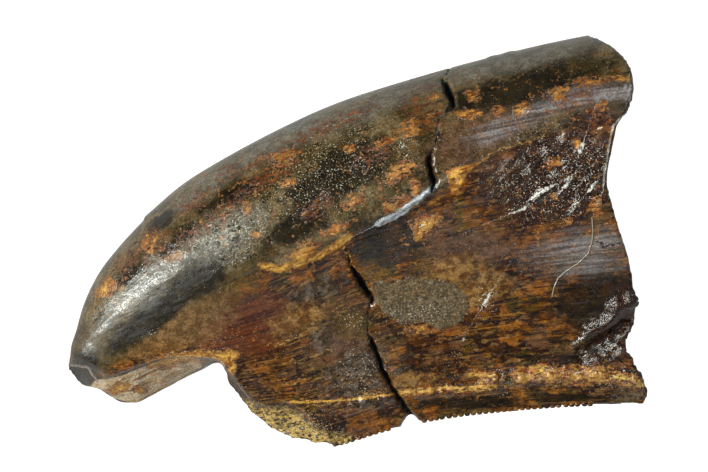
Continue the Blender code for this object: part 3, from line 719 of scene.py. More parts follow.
apply_modifier(tooth, "denticles", "BOOLEAN", **settings)
bpy.data.objects.remove(row_of_chisels)

# %% [markdown]
# A plant fibre is stuck to the root end under the gloss. It is a thin tube that follows
# the skin, rolled up like the crown from rings of points.

# %% The fibre
FIBRE = [
    (592, 218), (593, 230), (592, 242), (588, 254), (577, 264), (566, 271), (558, 278), (554, 287),
    (552, 297),
]
FIBRE_RADIUS, FIBRE_SIDES = 0.034, 6
skin = BVHTree.FromObject(tooth, bpy.context.evaluated_depsgraph_get())


def on_skin(spot, lift):
    """The place on the skin, in millimetres, behind a place in the picture."""
    eye = Vector((MIDDLE[0], MIDDLE[1], MIDDLE_HEIGHT + VIEW_DISTANCE)) * MM
    right, up = spot[0] - PICTURE_WIDTH / 2, PICTURE_HEIGHT / 2 - spot[1]
    way = Vector((right * PIXEL, up * PIXEL, -VIEW_DISTANCE)).normalized()
    hit = skin.ray_cast(eye, way)[0] / MM
    return np.array(hit) + (0, 0, lift)


path = [on_skin(spot, FIBRE_RADIUS) for spot in FIBRE]
turns = [math.radians(360 / FIBRE_SIDES * step) for step in range(FIBRE_SIDES)]
up = np.array((0, 0, 1))
rings = []
for before, here, after in zip(path[:1] + path, path, path[1:] + path[-1:]):
    across = np.cross(after - before, up)
    across /= np.linalg.norm(across)
    ways = [across * math.cos(turn) + up * math.sin(turn) for turn in turns]
    rings.append([here + FIBRE_RADIUS * way for way in ways])
fibre = roll_up("fibre", rings)
fibre_start = len(tooth.data.vertices)
bpy.ops.object.select_all(action="DESELECT")
fibre.select_set(True)
tooth.select_set(True)
bpy.context.view_layer.objects.active = tooth
bpy.ops.object.join()
take(tooth)
bpy.ops.object.shade_smooth()
triangles = sum(len(face.vertices) - 2 for face in tooth.data.polygons)
print("denticles", len(chisels), "tooth", triangles, "triangles")

# %% [markdown]
# ## Marks for the finish
# The finish needs to know where each stain, crust and bare patch is, and where highlights,
# sheen, reflections and shade are painted in. A painted image could say so, but marks that
# stay with the mesh follow every form and need no image. Each kind of mark is kept as a
# number on every vertex: 1 in its middle, 0 on its rim, less outside. The material later
# breaks the rims up with noise, so that no oval shows.

# %% Where the marks are, in picture pixels
# Ovals: centre, radii and turn in degrees
OVALS = {
    "ochre": [
        (107, 288, 12, 8, 50), (150, 243, 11, 8, 40), (175, 257, 12, 4, 20), (247, 208, 5, 6, 0),
        (284, 156, 15, 7, 20), (288, 183, 10, 4, 10), (350, 150, 6, 5, 0), (352, 201, 11, 7, 40),
        (399, 172, 19, 8, 35), (415, 187, 5, 10, 0), (397, 203, 16, 6, 25), (410, 129, 10, 10, 0),
        (385, 142, 12, 4, 20), (335, 230, 13, 5, 30), (258, 235, 6, 4, 0), (434, 96, 6, 5, 0),
        (472, 95, 7, 6, 0), (498, 110, 6, 6, 0), (469, 114, 14, 5, 0), (522, 108, 10, 7, 30),
        (583, 82, 11, 5, 10), (602, 106, 6, 7, 0), (577, 144, 5, 6, 0), (553, 163, 10, 5, 20),
        (555, 197, 4, 4, 0), (568, 220, 5, 4, 0), (595, 207, 7, 9, 0), (304, 252, 16, 9, 25),
        (425, 225, 14, 9, 20), (230, 358, 7, 6, 0), (118, 389, 13, 6, 20), (140, 389, 7, 4, 0),
        (213, 358, 16, 5, 10), (172, 364, 12, 4, 20), (230, 360, 6, 8, 0), (417, 330, 15, 5, 5),
        (487, 377, 10, 6, 0), (560, 92, 13, 6, 20),
    ],
    "freckles": [
        (520, 105, 110, 28, 12), (390, 165, 50, 50, 0), (590, 150, 26, 70, 0),
        (110, 300, 40, 26, 45), (320, 225, 60, 24, 30), (565, 215, 60, 40, 0),
        (480, 375, 60, 22, 0), (330, 395, 70, 18, 10), (450, 90, 40, 20, 0), (250, 190, 80, 40, 30),
        (200, 350, 60, 16, 15), (415, 255, 22, 46, 0),
    ],
    "rust": [
        (192, 202, 18, 8, 35), (228, 172, 14, 8, 30), (130, 262, 16, 8, 50), (262, 160, 20, 6, 30),
        (300, 140, 22, 5, 25), (152, 247, 20, 16, 40), (597, 120, 14, 22, 0), (212, 345, 14, 9, 20),
        (575, 100, 24, 10, 20), (125, 262, 16, 9, 50), (590, 230, 6, 5, 0), (190, 235, 16, 7, 40),
        (430, 118, 14, 14, 0), (318, 205, 20, 9, 40), (372, 155, 22, 10, 20), (340, 120, 40, 8, 25),
        (270, 175, 40, 10, 30), (420, 100, 22, 14, 20), (220, 215, 26, 8, 40),
    ],
    "maroon": [(240, 322, 42, 34, 10), (262, 340, 26, 16, 0)],
    "rose": [(185, 328, 46, 20, 22), (150, 345, 30, 10, 20)],
    "dark": [
        (383, 242, 34, 23, 20), (200, 280, 34, 17, 32), (525, 90, 70, 18, 12),
        (600, 305, 44, 40, 0), (405, 232, 14, 26, 20), (300, 225, 36, 15, 30),
        (340, 175, 60, 24, 30), (150, 320, 60, 14, 35), (470, 402, 60, 6, 2), (86, 362, 12, 14, 60),
        (570, 398, 40, 4, 0), (128, 274, 18, 10, 50), (182, 238, 24, 8, 40), (162, 222, 18, 7, 40),
        (230, 196, 40, 8, 28),
    ],
    "olive": [
        (373, 270, 15, 19, 0), (220, 290, 40, 20, 28), (352, 322, 17, 17, 0),
        (115, 345, 40, 16, 38),
    ],
    "slate": [
        (628, 393, 20, 7, 5), (317, 290, 26, 13, 20), (322, 340, 12, 14, 0), (350, 362, 16, 12, 0),
        (362, 372, 36, 24, 30),
    ],
    # Painted sheen: grey reflections on the root corner and along the ridge
    "painted_sheen": [(585, 252, 46, 20, 5), (575, 98, 42, 9, 14), (500, 128, 30, 9, 22)],
    "gold": [
        (480, 290, 28, 15, 20), (452, 270, 28, 13, 20), (410, 380, 26, 7, 5),
        (300, 320, 30, 14, 20),
    ],
    "tar": [
        (555, 178, 66, 44, 20), (612, 335, 24, 20, 20), (625, 315, 16, 30, 0),
        (590, 120, 30, 10, 10), (575, 362, 50, 7, 8), (85, 363, 14, 5, -35), (412, 299, 14, 3, 20),
        (520, 372, 20, 4, 0),
    ],
    # Painted highlights: white glints laid into the colour
    "glints": [
        (520, 208, 20, 7, 20), (545, 192, 20, 9, 25), (568, 180, 12, 12, 20), (592, 184, 9, 8, 0),
        (585, 150, 8, 14, 0), (516, 158, 8, 6, 20), (600, 130, 6, 10, 30), (585, 354, 12, 5, 0),
        (618, 347, 8, 4, 0), (625, 380, 14, 7, 15), (485, 302, 7, 14, 0), (462, 340, 4, 10, 0),
        (404, 150, 5, 10, 20), (575, 372, 24, 5, 0), (425, 225, 10, 6, 20), (455, 176, 7, 6, 30),
        (500, 372, 7, 7, 0), (409, 314, 4, 3, 0), (425, 297, 8, 3, 20),
    ],
    # Partly painted highlight: the pale patch beside the tip and the glossy ridge; pale flakes on
    # the hidden faces
    "pale": [(229, 235, 38, 20, 30), (405, 205, 30, 6, 30)],
    "crust": [(304, 252, 14, 7, 25), (425, 225, 12, 8, 20)],
    "golden": [
        (186, 357, 28, 5, 8), (228, 357, 9, 7, 0), (232, 368, 4, 8, 0), (120, 388, 13, 5, 20),
        (142, 390, 6, 4, 0), (425, 224, 12, 6, 20), (418, 232, 5, 9, 0), (304, 254, 12, 5, 25),
        (104, 290, 8, 5, 50), (552, 375, 10, 5, 0), (578, 377, 12, 4, 0), (524, 377, 8, 5, 0),
        (600, 377, 8, 4, 10),
    ],
    "striped": [
        (300, 365, 100, 52, 0), (505, 335, 34, 24, 0), (560, 395, 90, 10, 0), (590, 252, 50, 18, 0),
    ],
    "plum": [(478, 138, 54, 24, 22), (340, 345, 30, 20, 0), (470, 250, 40, 16, 10)],
    # Painted reflection: a grey band along the rounded front edge; on the hidden faces the same coat
    # is grey tone
    "haze_tone_and_reflection": [
        (365, 110, 60, 12, 24), (285, 140, 60, 11, 30), (205, 186, 50, 10, 38),
        (520, 62, 70, 8, 15),
    ],
    "worn": [(80, 375, 16, 7, -32)],
    "fluted": [(135, 312, 95, 24, 38)],
    # Painted highlights: where the white sparkle is dense
    "painted_sparkle": [
        (485, 302, 14, 18, 0), (462, 335, 6, 6, 0), (458, 355, 5, 6, 0), (362, 372, 32, 26, 0),
        (560, 178, 60, 44, 20), (622, 380, 24, 12, 10), (330, 175, 60, 34, 30),
        (229, 235, 40, 22, 30), (425, 225, 14, 9, 20), (405, 150, 10, 14, 0), (585, 354, 12, 5, 0),
        (610, 347, 14, 4, 0), (505, 380, 12, 16, 0), (420, 312, 40, 14, 0), (352, 322, 16, 14, 0),
        (345, 438, 20, 8, 0), (300, 425, 40, 16, 0), (560, 375, 50, 10, 0),
    ],
}
# Lines: their places, and half width
LINES = {
    "golden": [
        ([(262, 266), (280, 269), (300, 263), (320, 255), (335, 246), (350, 236)], 4),
        ([(150, 364), (190, 357), (222, 356), (236, 356)], 3.5),
    ],
    # Painted sheen along the ridge
    "painted_sheen": [([(483, 137), (520, 120), (560, 104), (600, 95), (630, 90)], 8)],
    "ochre": [([(412, 222), (438, 216)], 3), ([(596, 84), (612, 78), (628, 80)], 2.5)],
    "crust": [
        ([(400, 393), (440, 389), (460, 390), (495, 386)], 4.5), ([(470, 374), (495, 376)], 4),
        ([(520, 375), (545, 372)], 9), ([(548, 374), (575, 376), (605, 374)], 10),
        ([(605, 374), (640, 383)], 7), ([(150, 364), (190, 357), (222, 356), (236, 356)], 5),
        ([(228, 352), (232, 368)], 5),
    ],
}
# Patches: their corners, and the width of the soft rim
PATCHES = {
    "filler": (FILLER, 5),
    "crumb": (CRUMB, 6),
    "wedge": (
        [(446, 171), (456, 167), (474, 164), (492, 155), (468, 174), (461, 186), (452, 196)], 4,
    ),
    "split": (
        [
            (92, 381), (120, 376), (160, 360), (200, 353), (222, 358), (225, 366), (180, 384),
            (135, 404), (90, 392),
        ],
        4,
    ),
}
print({name: len(spots) for name, spots in OVALS.items()})


# %% Write each kind of mark onto the vertices
def keep_mark(name, values):
    layer = tooth.data.attributes.new(name, "FLOAT", "POINT")
    layer.data.foreach_set("value", values.astype(np.float32))


# On faces that the picture doesn't show: size in mm, how rare, and the shift of the noise
UNSEEN = {
    "rust": (1.1, 0.18, 3.0), "ochre": (0.7, 0.42, 5.0), "dark": (1.6, 0.12, 7.0),
    "haze_tone_and_reflection": (2.2, 0.25, 9.0), "freckles": (2.0, 0.05, 11.0), "painted_sparkle": (1.5, 0.15, 13.0),
    "plum": (1.8, 0.30, 15.0), "pale": (1.0, 0.46, 17.0), "maroon": (2.4, 0.30, 19.0),
    "striped": (3.0, 0.10, 21.0), "gold": (1.3, 0.34, 23.0),
}
UNSEEN_STRETCH, UNSEEN_STEEPNESS = (0.4, 1, 1), 2.6
# Walls that are steeper than this, give or take some lumps, count as not shown
STEEP, STEEP_LUMPS = 0.20, 0.10
points, normals = get_points(tooth), get_normals(tooth)
u, v = as_seen(points)
unseen = normals[:, 2] + STEEP_LUMPS * lumps(points, 0.8, 2.0) <= STEEP
for name, spots in OVALS.items():
    mark = np.full(len(u), -1.0)
    for oval in spots:
        mark = np.maximum(mark, from_oval(u, v, oval))
    for line, half_width in LINES.get(name, []):
        mark = np.maximum(mark, 1 - from_line(u, v, line)[0] / half_width)
    mark[unseen] = -1
    if name in UNSEEN:
        size, rare, shift = UNSEEN[name]
        spread = lumps(points[unseen] * UNSEEN_STRETCH, size, shift)
        mark[unseen] = UNSEEN_STEEPNESS * (spread - rare)
    keep_mark(name, np.clip(mark, -1, 1))
for name, (corners, reach) in PATCHES.items():
    keep_mark(name, np.where(unseen, -1, from_patch(u, v, corners, reach)))
print("not shown", unseen.sum(), "of", len(unseen), "vertices")

# %% Thin lines, kept as a distance with a sign so that they stay crisp between vertices
NOT_NEAR = 99.0
THIN_LINES = {
    # Painted highlight: a white line along the wet rim of the root break
    "rim_highlight_line": [
        [
            (630, 100), (629, 112), (620, 118), (613, 127), (609, 144), (607, 160), (604, 176),
            (603, 187),
        ],
    ],
    "tip_line": [[(69, 365), (80, 366), (88, 368), (93, 376), (98, 382)]],
    # Painted shade: dark lines at the foot of the enamel step, along a thin crack and at the root
    # rim
    "ledge_shade_line": [
        [
            (262, 272), (281, 276), (300, 271), (320, 262), (335, 253), (352, 243), (382, 230),
            (410, 213), (430, 198),
        ],
        [(437, 112), (437, 130), (440, 147)], [(620, 190), (603, 187), (598, 178)],
    ],
    # Painted shade: dark lines in hollows and crevices at the root
    "root_hollow_shade_line": [
        [(598, 243), (606, 246), (618, 245)], [(596, 350), (612, 356), (630, 366)],
        [(500, 367), (540, 358), (575, 356)],
    ],
    # Painted highlight along the glossy ridge
    "gloss_highlight_line": [GLOSS_RIDGE],
    # Painted highlights: short white glints
    "glint_line": [
        [(552, 186), (541, 191), (531, 199)], [(524, 208), (512, 213)], [(571, 178), (564, 187)],
        [(583, 143), (580, 152)], [(489, 296), (484, 304)], [(594, 184), (589, 190)],
    ],
    "seam_line": [
        [(291, 402), (330, 401), (360, 399), (392, 394)],
        [(400, 393), (440, 389), (470, 387), (495, 386)],
    ],
    "pale_line": [
        [(345, 249), (348, 258), (353, 270)], [(305, 407), (340, 402), (360, 397), (390, 392)],
        [(280, 385), (310, 380), (340, 375)], [(290, 362), (310, 357), (330, 350)],
        [(270, 345), (290, 340), (302, 336)], [(478, 163), (500, 150), (543, 137)],
        [(400, 392), (440, 388), (470, 386)], [(600, 80), (614, 76), (629, 79)],
    ],
}
for name, lines in THIN_LINES.items():
    nearest = np.full(len(u), NOT_NEAR)
    for line in lines:
        away, above = from_line(u, v, line)
        nearest = np.where(away < np.abs(nearest), above * away, nearest)
    keep_mark(name, np.where(unseen, NOT_NEAR, nearest))
keep_mark("fibre", (np.arange(len(u)) >= fibre_start).astype(float))
print("thin lines", list(THIN_LINES))

# %% [markdown]
# Four things are known from the form itself. The enamel ends at its edge, the bare faces
# lie deeper than the skin, and the crack has its slots. The streaks of the real tooth run
# along its growth, from root to tip, so each vertex also keeps how far along and how far
# across the tooth it lies. Noise that reads these two bends with the tooth.

# %% Enamel, breaks, crack and the direction of growth
# The enamel beside the tip, and pixels or shares over which its mark falls to 0
ENAMEL_TIP = [(70, 376), (110, 366), (160, 338), (200, 308)]
ENAMEL_SEEN_RIM, ENAMEL_HIDDEN_RIM, ENAMEL_HIDDEN_END = 10, 3, 1.5
BARE_DEPTH = 0.3
# The tooth's length along its curve and its width, in millimetres
GROWN_LENGTH, GROWN_WIDTH = 36.0, 15.0
away, above = from_line(u, v, ENAMEL_TIP + ENAMEL_EDGE)
progress, share = grown_at(points[:, 0], points[:, 1])
hidden_enamel = ENAMEL_HIDDEN_END - share * ENAMEL_HIDDEN_RIM
enamel = np.where(unseen, hidden_enamel, above * away / ENAMEL_SEEN_RIM)
keep_mark("enamel", np.clip(enamel, -1, 1))
keep_mark("bare", np.clip(depth_under_skin(points) / BARE_DEPTH - 1, -1, 1))
seen_inside = np.where(normals[:, 2] > -0.3, seen_crack(points, u, v)[1], -1)
hidden_inside = slot(points[:, 0], points[:, 1], HIDDEN_PATH)[1]
hidden_inside[normals[:, 2] >= 0] = -1
front_inside = slot(points[:, 0], points[:, 2], FRONT_PATH)[1]
front_inside[normals[:, 1] <= 0.4] = -1
keep_mark("crack", np.max([seen_inside, hidden_inside, front_inside], axis=0))
across = share * GROWN_WIDTH * np.where(normals[:, 2] < 0, -1, 1)
grown = np.stack([progress * GROWN_LENGTH, across, points[:, 2]], axis=-1)
layer = tooth.data.attributes.new("grown", "FLOAT_VECTOR", "POINT")
layer.data.foreach_set("vector", grown.astype(np.float32).reshape(-1))
print("marks", len(tooth.data.attributes))

# %% [markdown]
# ## Helpers for the finish
# Materials are built from nodes. One helper adds a node, sets it and joins its inputs, so
# that each line of the finish reads as one step. Colours are written as they look in the
# picture, 0 to 255, and turned into the light values that the shader works with.


# %% Node helpers
def node(tree, kind, inputs=(), **settings):
    """Add a node. Inputs are numbers, colours or outputs of other nodes."""
    made = tree.nodes.new(kind)
    for name, value in settings.items():
        setattr(made, name, value)
    for name, value in dict(inputs).items():
        if isinstance(value, bpy.types.NodeSocket):
            tree.links.new(value, made.inputs[name])
        else:
            made.inputs[name].default_value = value
    return made


def maths(tree, operation, first, second=0.0, clamp=False):
    inputs = {0: first, 1: second}
    return node(tree, "ShaderNodeMath", inputs, operation=operation, use_clamp=clamp).outputs[0]


def blend(tree, share, first, second):
    """Mix two colours."""
    made = node(tree, "ShaderNodeMix", {0: share, 6: first, 7: second}, data_type="RGBA")
    return made.outputs[2]


def between(tree, share, first, second):
    """Mix two numbers."""
    made = node(tree, "ShaderNodeMix", {0: share, 2: first, 3: second}, data_type="FLOAT")
    return made.outputs[0]


def stretch(tree, value, low, high, new_low=0.0, new_high=1.0, kind="SMOOTHSTEP"):
    """Turn the range from low to high into a new range, with soft ends."""
    inputs = {"Value": value, "From Min": low, "From Max": high}
    inputs |= {"To Min": new_low, "To Max": new_high}
    return node(tree, "ShaderNodeMapRange", inputs, interpolation_type=kind).outputs[0]


def grain_of(tree, place, size, detail, roughness):
    """Noise with features of a size in millimetres."""
    inputs = {"Vector": place, "Scale": 1 / size, "Detail": detail, "Roughness": roughness}
    return node(tree, "ShaderNodeTexNoise", inputs).outputs[0]


# How bright the studio light makes a white surface, and what the gloss adds to every colour
LIT = 1.25
GLOSS = (0.008, 0.0105, 0.017)


def colour(red, green, blue):
    """Surface colour that looks like these picture values under the studio light."""
    linear = [((c / 255 + 0.055) / 1.055) ** 2.4 for c in (red, green, blue)]
    return (*[max(c - gloss, 0.0008) / LIT for c, gloss in zip(linear, GLOSS)], 1.0)


def mark_of(tree, name):
    """A mark that the vertices keep, as a number over the surface."""
    return node(tree, "ShaderNodeAttribute", attribute_name=name).outputs["Fac"]


# %% [markdown]
# Every mark gets a ragged rim in the same way, so this step is a node group: the mark's
# number is pushed up and down by noise, and then cut off more or less sharply. That is the
# mask. The core is a second output that only the middle of a mark reaches, so that a crust
# can be brightest there.

# %% Group for ragged rims
# Name, kind and starting value of each input
RAGGED_INPUTS = [
    ("Mark", "NodeSocketFloat", 0.0), ("Place", "NodeSocketVector", (0, 0, 0)),
    ("Size", "NodeSocketFloat", 0.4), ("Break", "NodeSocketFloat", 0.8),
    ("Softness", "NodeSocketFloat", 0.2),
]
CORE_FULL = 0.9


def make_ragged_group():
    group = bpy.data.node_groups.new("ragged_rim", "ShaderNodeTree")
    for name, kind, value in RAGGED_INPUTS:
        socket = group.interface.new_socket(name=name, in_out="INPUT", socket_type=kind)
        socket.default_value = value
    for name in ("Mask", "Core"):
        group.interface.new_socket(name=name, in_out="OUTPUT", socket_type="NodeSocketFloat")
    given, result = group.nodes.new("NodeGroupInput"), group.nodes.new("NodeGroupOutput")
    scale = maths(group, "DIVIDE", 1.0, given.outputs["Size"])
    inputs = {"Vector": given.outputs["Place"], "Scale": scale, "Detail": 4.0, "Roughness": 0.62}
    raw = node(group, "ShaderNodeTexNoise", inputs).outputs[0]
    push = maths(group, "MULTIPLY", maths(group, "SUBTRACT", raw, 0.5), given.outputs["Break"])
    value = maths(group, "ADD", given.outputs["Mark"], push)
    low = maths(group, "MULTIPLY", given.outputs["Softness"], -1.0)
    mask = stretch(group, value, low, given.outputs["Softness"])
    group.links.new(mask, result.inputs["Mask"])
    core = stretch(group, value, given.outputs["Softness"], CORE_FULL)
    group.links.new(core, result.inputs["Core"])
    return group


RAGGED = make_ragged_group()
print("group", RAGGED.name, [item.name for item in RAGGED.interface.items_tree])

# %% [markdown]
# ## The finish
# Polished fossil: deep brown dentine with streaks along the tooth, green-black enamel with
# rust and pale specks over it, and mineral stains on both. Some highlights, sheen,
# reflections and shade are painted into the colour as well. It could be painted on an
# image, but an image has to be unwrapped onto the tooth and shows its pixels up close. Here
# one material of nodes does it all, laid on in coats from the dentine up. The marks say
# where a coat lies, and noise gives it its detail.

# %% Sizes of the patterns, in millimetres
# Along the growth: length, width, detail and roughness
GROWN_PATTERNS = {
    "streaks": (3.6, 0.20, 3.0, 0.6), "hair": (1.6, 0.075, 2.0, 0.6),
    "veins": (2.2, 0.11, 3.0, 0.6), "mottle": (0.60, 0.28, 5.0, 0.72),
    "fleck": (0.26, 0.13, 3.0, 0.7), "polish": (3.4, 0.36, 1.5, 0.5),
}
# The same every way: size, detail and roughness
PLAIN_PATTERNS = {
    "cloud": (1.8, 4.0, 0.6), "ripple": (0.7, 3.0, 0.6), "rust_spots": (0.55, 5.0, 0.75),
    "blots": (0.5, 4.0, 0.65), "patches": (0.42, 5.0, 0.7), "freckles": (0.34, 5.0, 0.72),
    "crumbs": (0.15, 2.0, 0.7), "speck": (0.10, 2.0, 0.7), "dots": (0.075, 2.0, 0.6),
    "painted_sparkle": (0.075, 1.0, 0.5), "dust": (0.06, 1.0, 0.5),
}
# Drawn out at an angle: turn in degrees, repeats to a millimetre each way, detail, roughness
TURNED_PATTERNS = {
    "slivers": (-34, (2.4, 8.0, 5.0), 2.0, 0.6), "drawn": (-24, (0.30, 6.5, 5.0), 3.0, 0.6),
}
CRYSTAL_LENGTH, CRYSTAL_WIDTH = 0.20, 0.10
# Patterns change this much more slowly through the tooth than across it
THROUGH = 0.4

# %% The material and its patterns
finish = bpy.data.materials.new("fossil_enamel_and_dentine")
finish.use_nodes = True
tree = finish.node_tree
shader = tree.nodes["Principled BSDF"]
spot = node(tree, "ShaderNodeTexCoord").outputs["Object"]
in_mm = {0: spot, "Scale": 1 / MM}
place = node(tree, "ShaderNodeVectorMath", in_mm, operation="SCALE").outputs[0]
growth = node(tree, "ShaderNodeAttribute", attribute_name="grown").outputs["Vector"]


def scaled(vector, scales):
    inputs = {0: vector, 1: scales}
    return node(tree, "ShaderNodeVectorMath", inputs, operation="MULTIPLY").outputs[0]


def along_growth(length, width):
    """Places in which a pattern of this length and width has a size of 1."""
    return scaled(growth, (1 / length, 1 / width, THROUGH / width))


def turned(angle, scales):
    """Places that are turned in the plane of the table and then stretched."""
    inputs = {"Vector": place, "Angle": math.radians(angle)}
    return scaled(node(tree, "ShaderNodeVectorRotate", inputs).outputs[0], scales)


def cells(vector, scale):
    """Three random numbers for each cell of a pattern of cells."""
    made = node(tree, "ShaderNodeTexVoronoi", {"Vector": vector, "Scale": scale})
    return node(tree, "ShaderNodeSeparateColor", {"Color": made.outputs["Color"]}).outputs


patterns = {}
for name, (length, width, detail, rough) in GROWN_PATTERNS.items():
    patterns[name] = grain_of(tree, along_growth(length, width), 1.0, detail, rough)
for name, (size, detail, rough) in PLAIN_PATTERNS.items():
    patterns[name] = grain_of(tree, place, size, detail, rough)
for name, (angle, scales, detail, rough) in TURNED_PATTERNS.items():
    patterns[name] = grain_of(tree, turned(angle, scales), 1.0, detail, rough)
patterns["crystals"] = cells(along_growth(CRYSTAL_LENGTH, CRYSTAL_WIDTH), 1.0)[0]
print("patterns", list(patterns))

# %% [markdown]
# The coats are laid on with a few brushes. One makes a mask from a pattern, one lays a
# colour on through a mask, one reads a mark with its ragged rim, and one lays on a whole
# coat, with its own roughness and grain.


# %% Brushes
def where(name, low, high, strength=1.0):
    """A mask that rises to its strength as a pattern passes from low to high."""
    return stretch(tree, patterns[name], low, high, 0.0, strength)


def times(first, second):
    return maths(tree, "MULTIPLY", first, second)


def paint(under, mask, tint):
    """Lay a colour, in picture values, over what is there, as far as the mask says."""
    return blend(tree, mask, under, colour(*tint))


def ragged(name, size, broken, softness):
    """Mask and core of a kind of mark."""
    inputs = {"Mark": mark_of(tree, name), "Place": place, "Size": size}
    inputs |= {"Break": broken, "Softness": softness}
    return node(tree, "ShaderNodeGroup", inputs, node_tree=RAGGED).outputs


def lay_on(surface, mask, coat, rough, grainy):
    """Lay a coat over a surface, which is a colour, a roughness and a grain."""
    tone, roughness, grain = surface
    tone = blend(tree, mask, tone, coat)
    return tone, between(tree, mask, roughness, rough), between(tree, mask, grain, grainy)


print("material", finish.name, "has", len(tree.nodes), "nodes so far")

# %% [markdown]
# ### Dentine
# Under the enamel lies dentine, the brown body of the tooth, which mineral water stained
# in plates and streaks. A warm ground comes first. Then come plates of other colours, dark
# mottling, amber veins that are strongest in the striped places, rusty patches elsewhere,
# dark streaks, hair lines and small golden crystals.

# %% Dentine
# Plates: which random number, its limits, colour and strength
PLATES = [
    (0, 0.70, 0.76, (112, 84, 72), 0.6), (0, 0.24, 0.18, (44, 26, 12), 0.7),
    (1, 0.78, 0.84, (196, 120, 48), 0.55), (1, 0.22, 0.16, (98, 84, 44), 0.6),
]
PLATE_SCALE, PLATE_WARP = 0.95, {"Vector": place, "Scale": 2.2, "Detail": 5.0}
warp = node(tree, "ShaderNodeTexNoise", PLATE_WARP).outputs["Color"]
warped = node(tree, "ShaderNodeVectorMath", {0: place, 1: warp}, operation="ADD").outputs[0]
plates = cells(warped, PLATE_SCALE)
tone = blend(tree, where("cloud", 0.40, 0.62), colour(78, 47, 20), colour(132, 82, 36))
for channel, low, high, tint, strength in PLATES:
    tone = paint(tone, stretch(tree, plates[channel], low, high, 0, strength), tint)
tone = paint(tone, where("mottle", 0.56, 0.40, 0.85), (30, 16, 5))
striped = ragged("striped", 1.2, 1.2, 0.5)["Mask"]
veins = times(where("veins", 0.56, 0.66), between(tree, striped, 0.25, 0.7))
tone = paint(tone, veins, (184, 130, 64))
rusty = maths(tree, "SUBTRACT", where("patches", 0.54, 0.62, 0.6), striped, clamp=True)
tone = paint(tone, rusty, (142, 78, 32))
streaks = times(where("streaks", 0.54, 0.66), between(tree, striped, 0.45, 0.8))
tone = paint(tone, streaks, (30, 16, 6))
tone = paint(tone, where("hair", 0.54, 0.64, 0.8), (20, 10, 4))
tone = paint(tone, where("crystals", 0.80, 0.95, 0.35), (190, 140, 84))
roughness = stretch(tree, patterns["streaks"], 0.3, 0.7, 0.10, 0.16)
grain = 0.6
print("dentine", len(tree.nodes), "nodes")

# %% [markdown]
# ### Enamel
# The enamel is a thin, glassy skin over the thick half of the tooth. It looks green-black
# from afar, and up close it is a mottle of khaki and black with pale dots and rusty spots.
# The dots are densest where the painted sparkle is marked.

# %% Enamel
enamel = ragged("enamel", 0.6, 0.7, 0.15)["Mask"]
coat = blend(tree, where("cloud", 0.38, 0.62), colour(70, 60, 43), colour(128, 110, 82))
coat = paint(coat, where("mottle", 0.48, 0.62, 0.8), (26, 22, 12))
coat = paint(coat, where("fleck", 0.56, 0.66, 0.5), (150, 128, 90))
dots = times(where("dots", 0.55, 0.62), stretch(tree, patterns["mottle"], 0.42, 0.58, 0.15, 0.9))
dots = times(dots, stretch(tree, mark_of(tree, "painted_sparkle"), -0.9, 0.3, 0.12, 1.0))
coat = paint(coat, dots, (206, 192, 148))
coat = paint(coat, where("rust_spots", 0.57, 0.63, 0.75), (118, 74, 36))
tone, roughness, grain = lay_on((tone, roughness, grain), enamel, coat, 0.16, 0.7)
print("enamel", len(tree.nodes), "nodes")

# %% [markdown]
# ### Broken faces
# Where the tooth broke it is dull, coarse and dark. The split beside the tip is different:
# its pale, drawn-out grain shows fresh dentine. Both coats follow marks of their own, so
# no seam has to be cut into the mesh.

# %% Broken faces and the split
bare = ragged("bare", 0.5, 0.8, 0.3)["Mask"]
coat = blend(tree, where("mottle", 0.35, 0.68), colour(38, 25, 14), colour(104, 74, 42))
tone, roughness, grain = lay_on((tone, roughness, grain), bare, coat, 0.50, 3.0)
split = ragged("split", 0.5, 0.4, 0.2)["Mask"]
coat = blend(tree, where("drawn", 0.40, 0.60), colour(236, 192, 136), colour(236, 218, 192))
coat = paint(coat, where("mottle", 0.52, 0.64, 0.8), (214, 140, 62))
coat = paint(coat, where("drawn", 0.45, 0.38, 0.8), (116, 76, 46))
tone = blend(tree, split, tone, coat)
roughness = between(tree, split, roughness, 0.38)
print("broken faces", len(tree.nodes), "nodes")
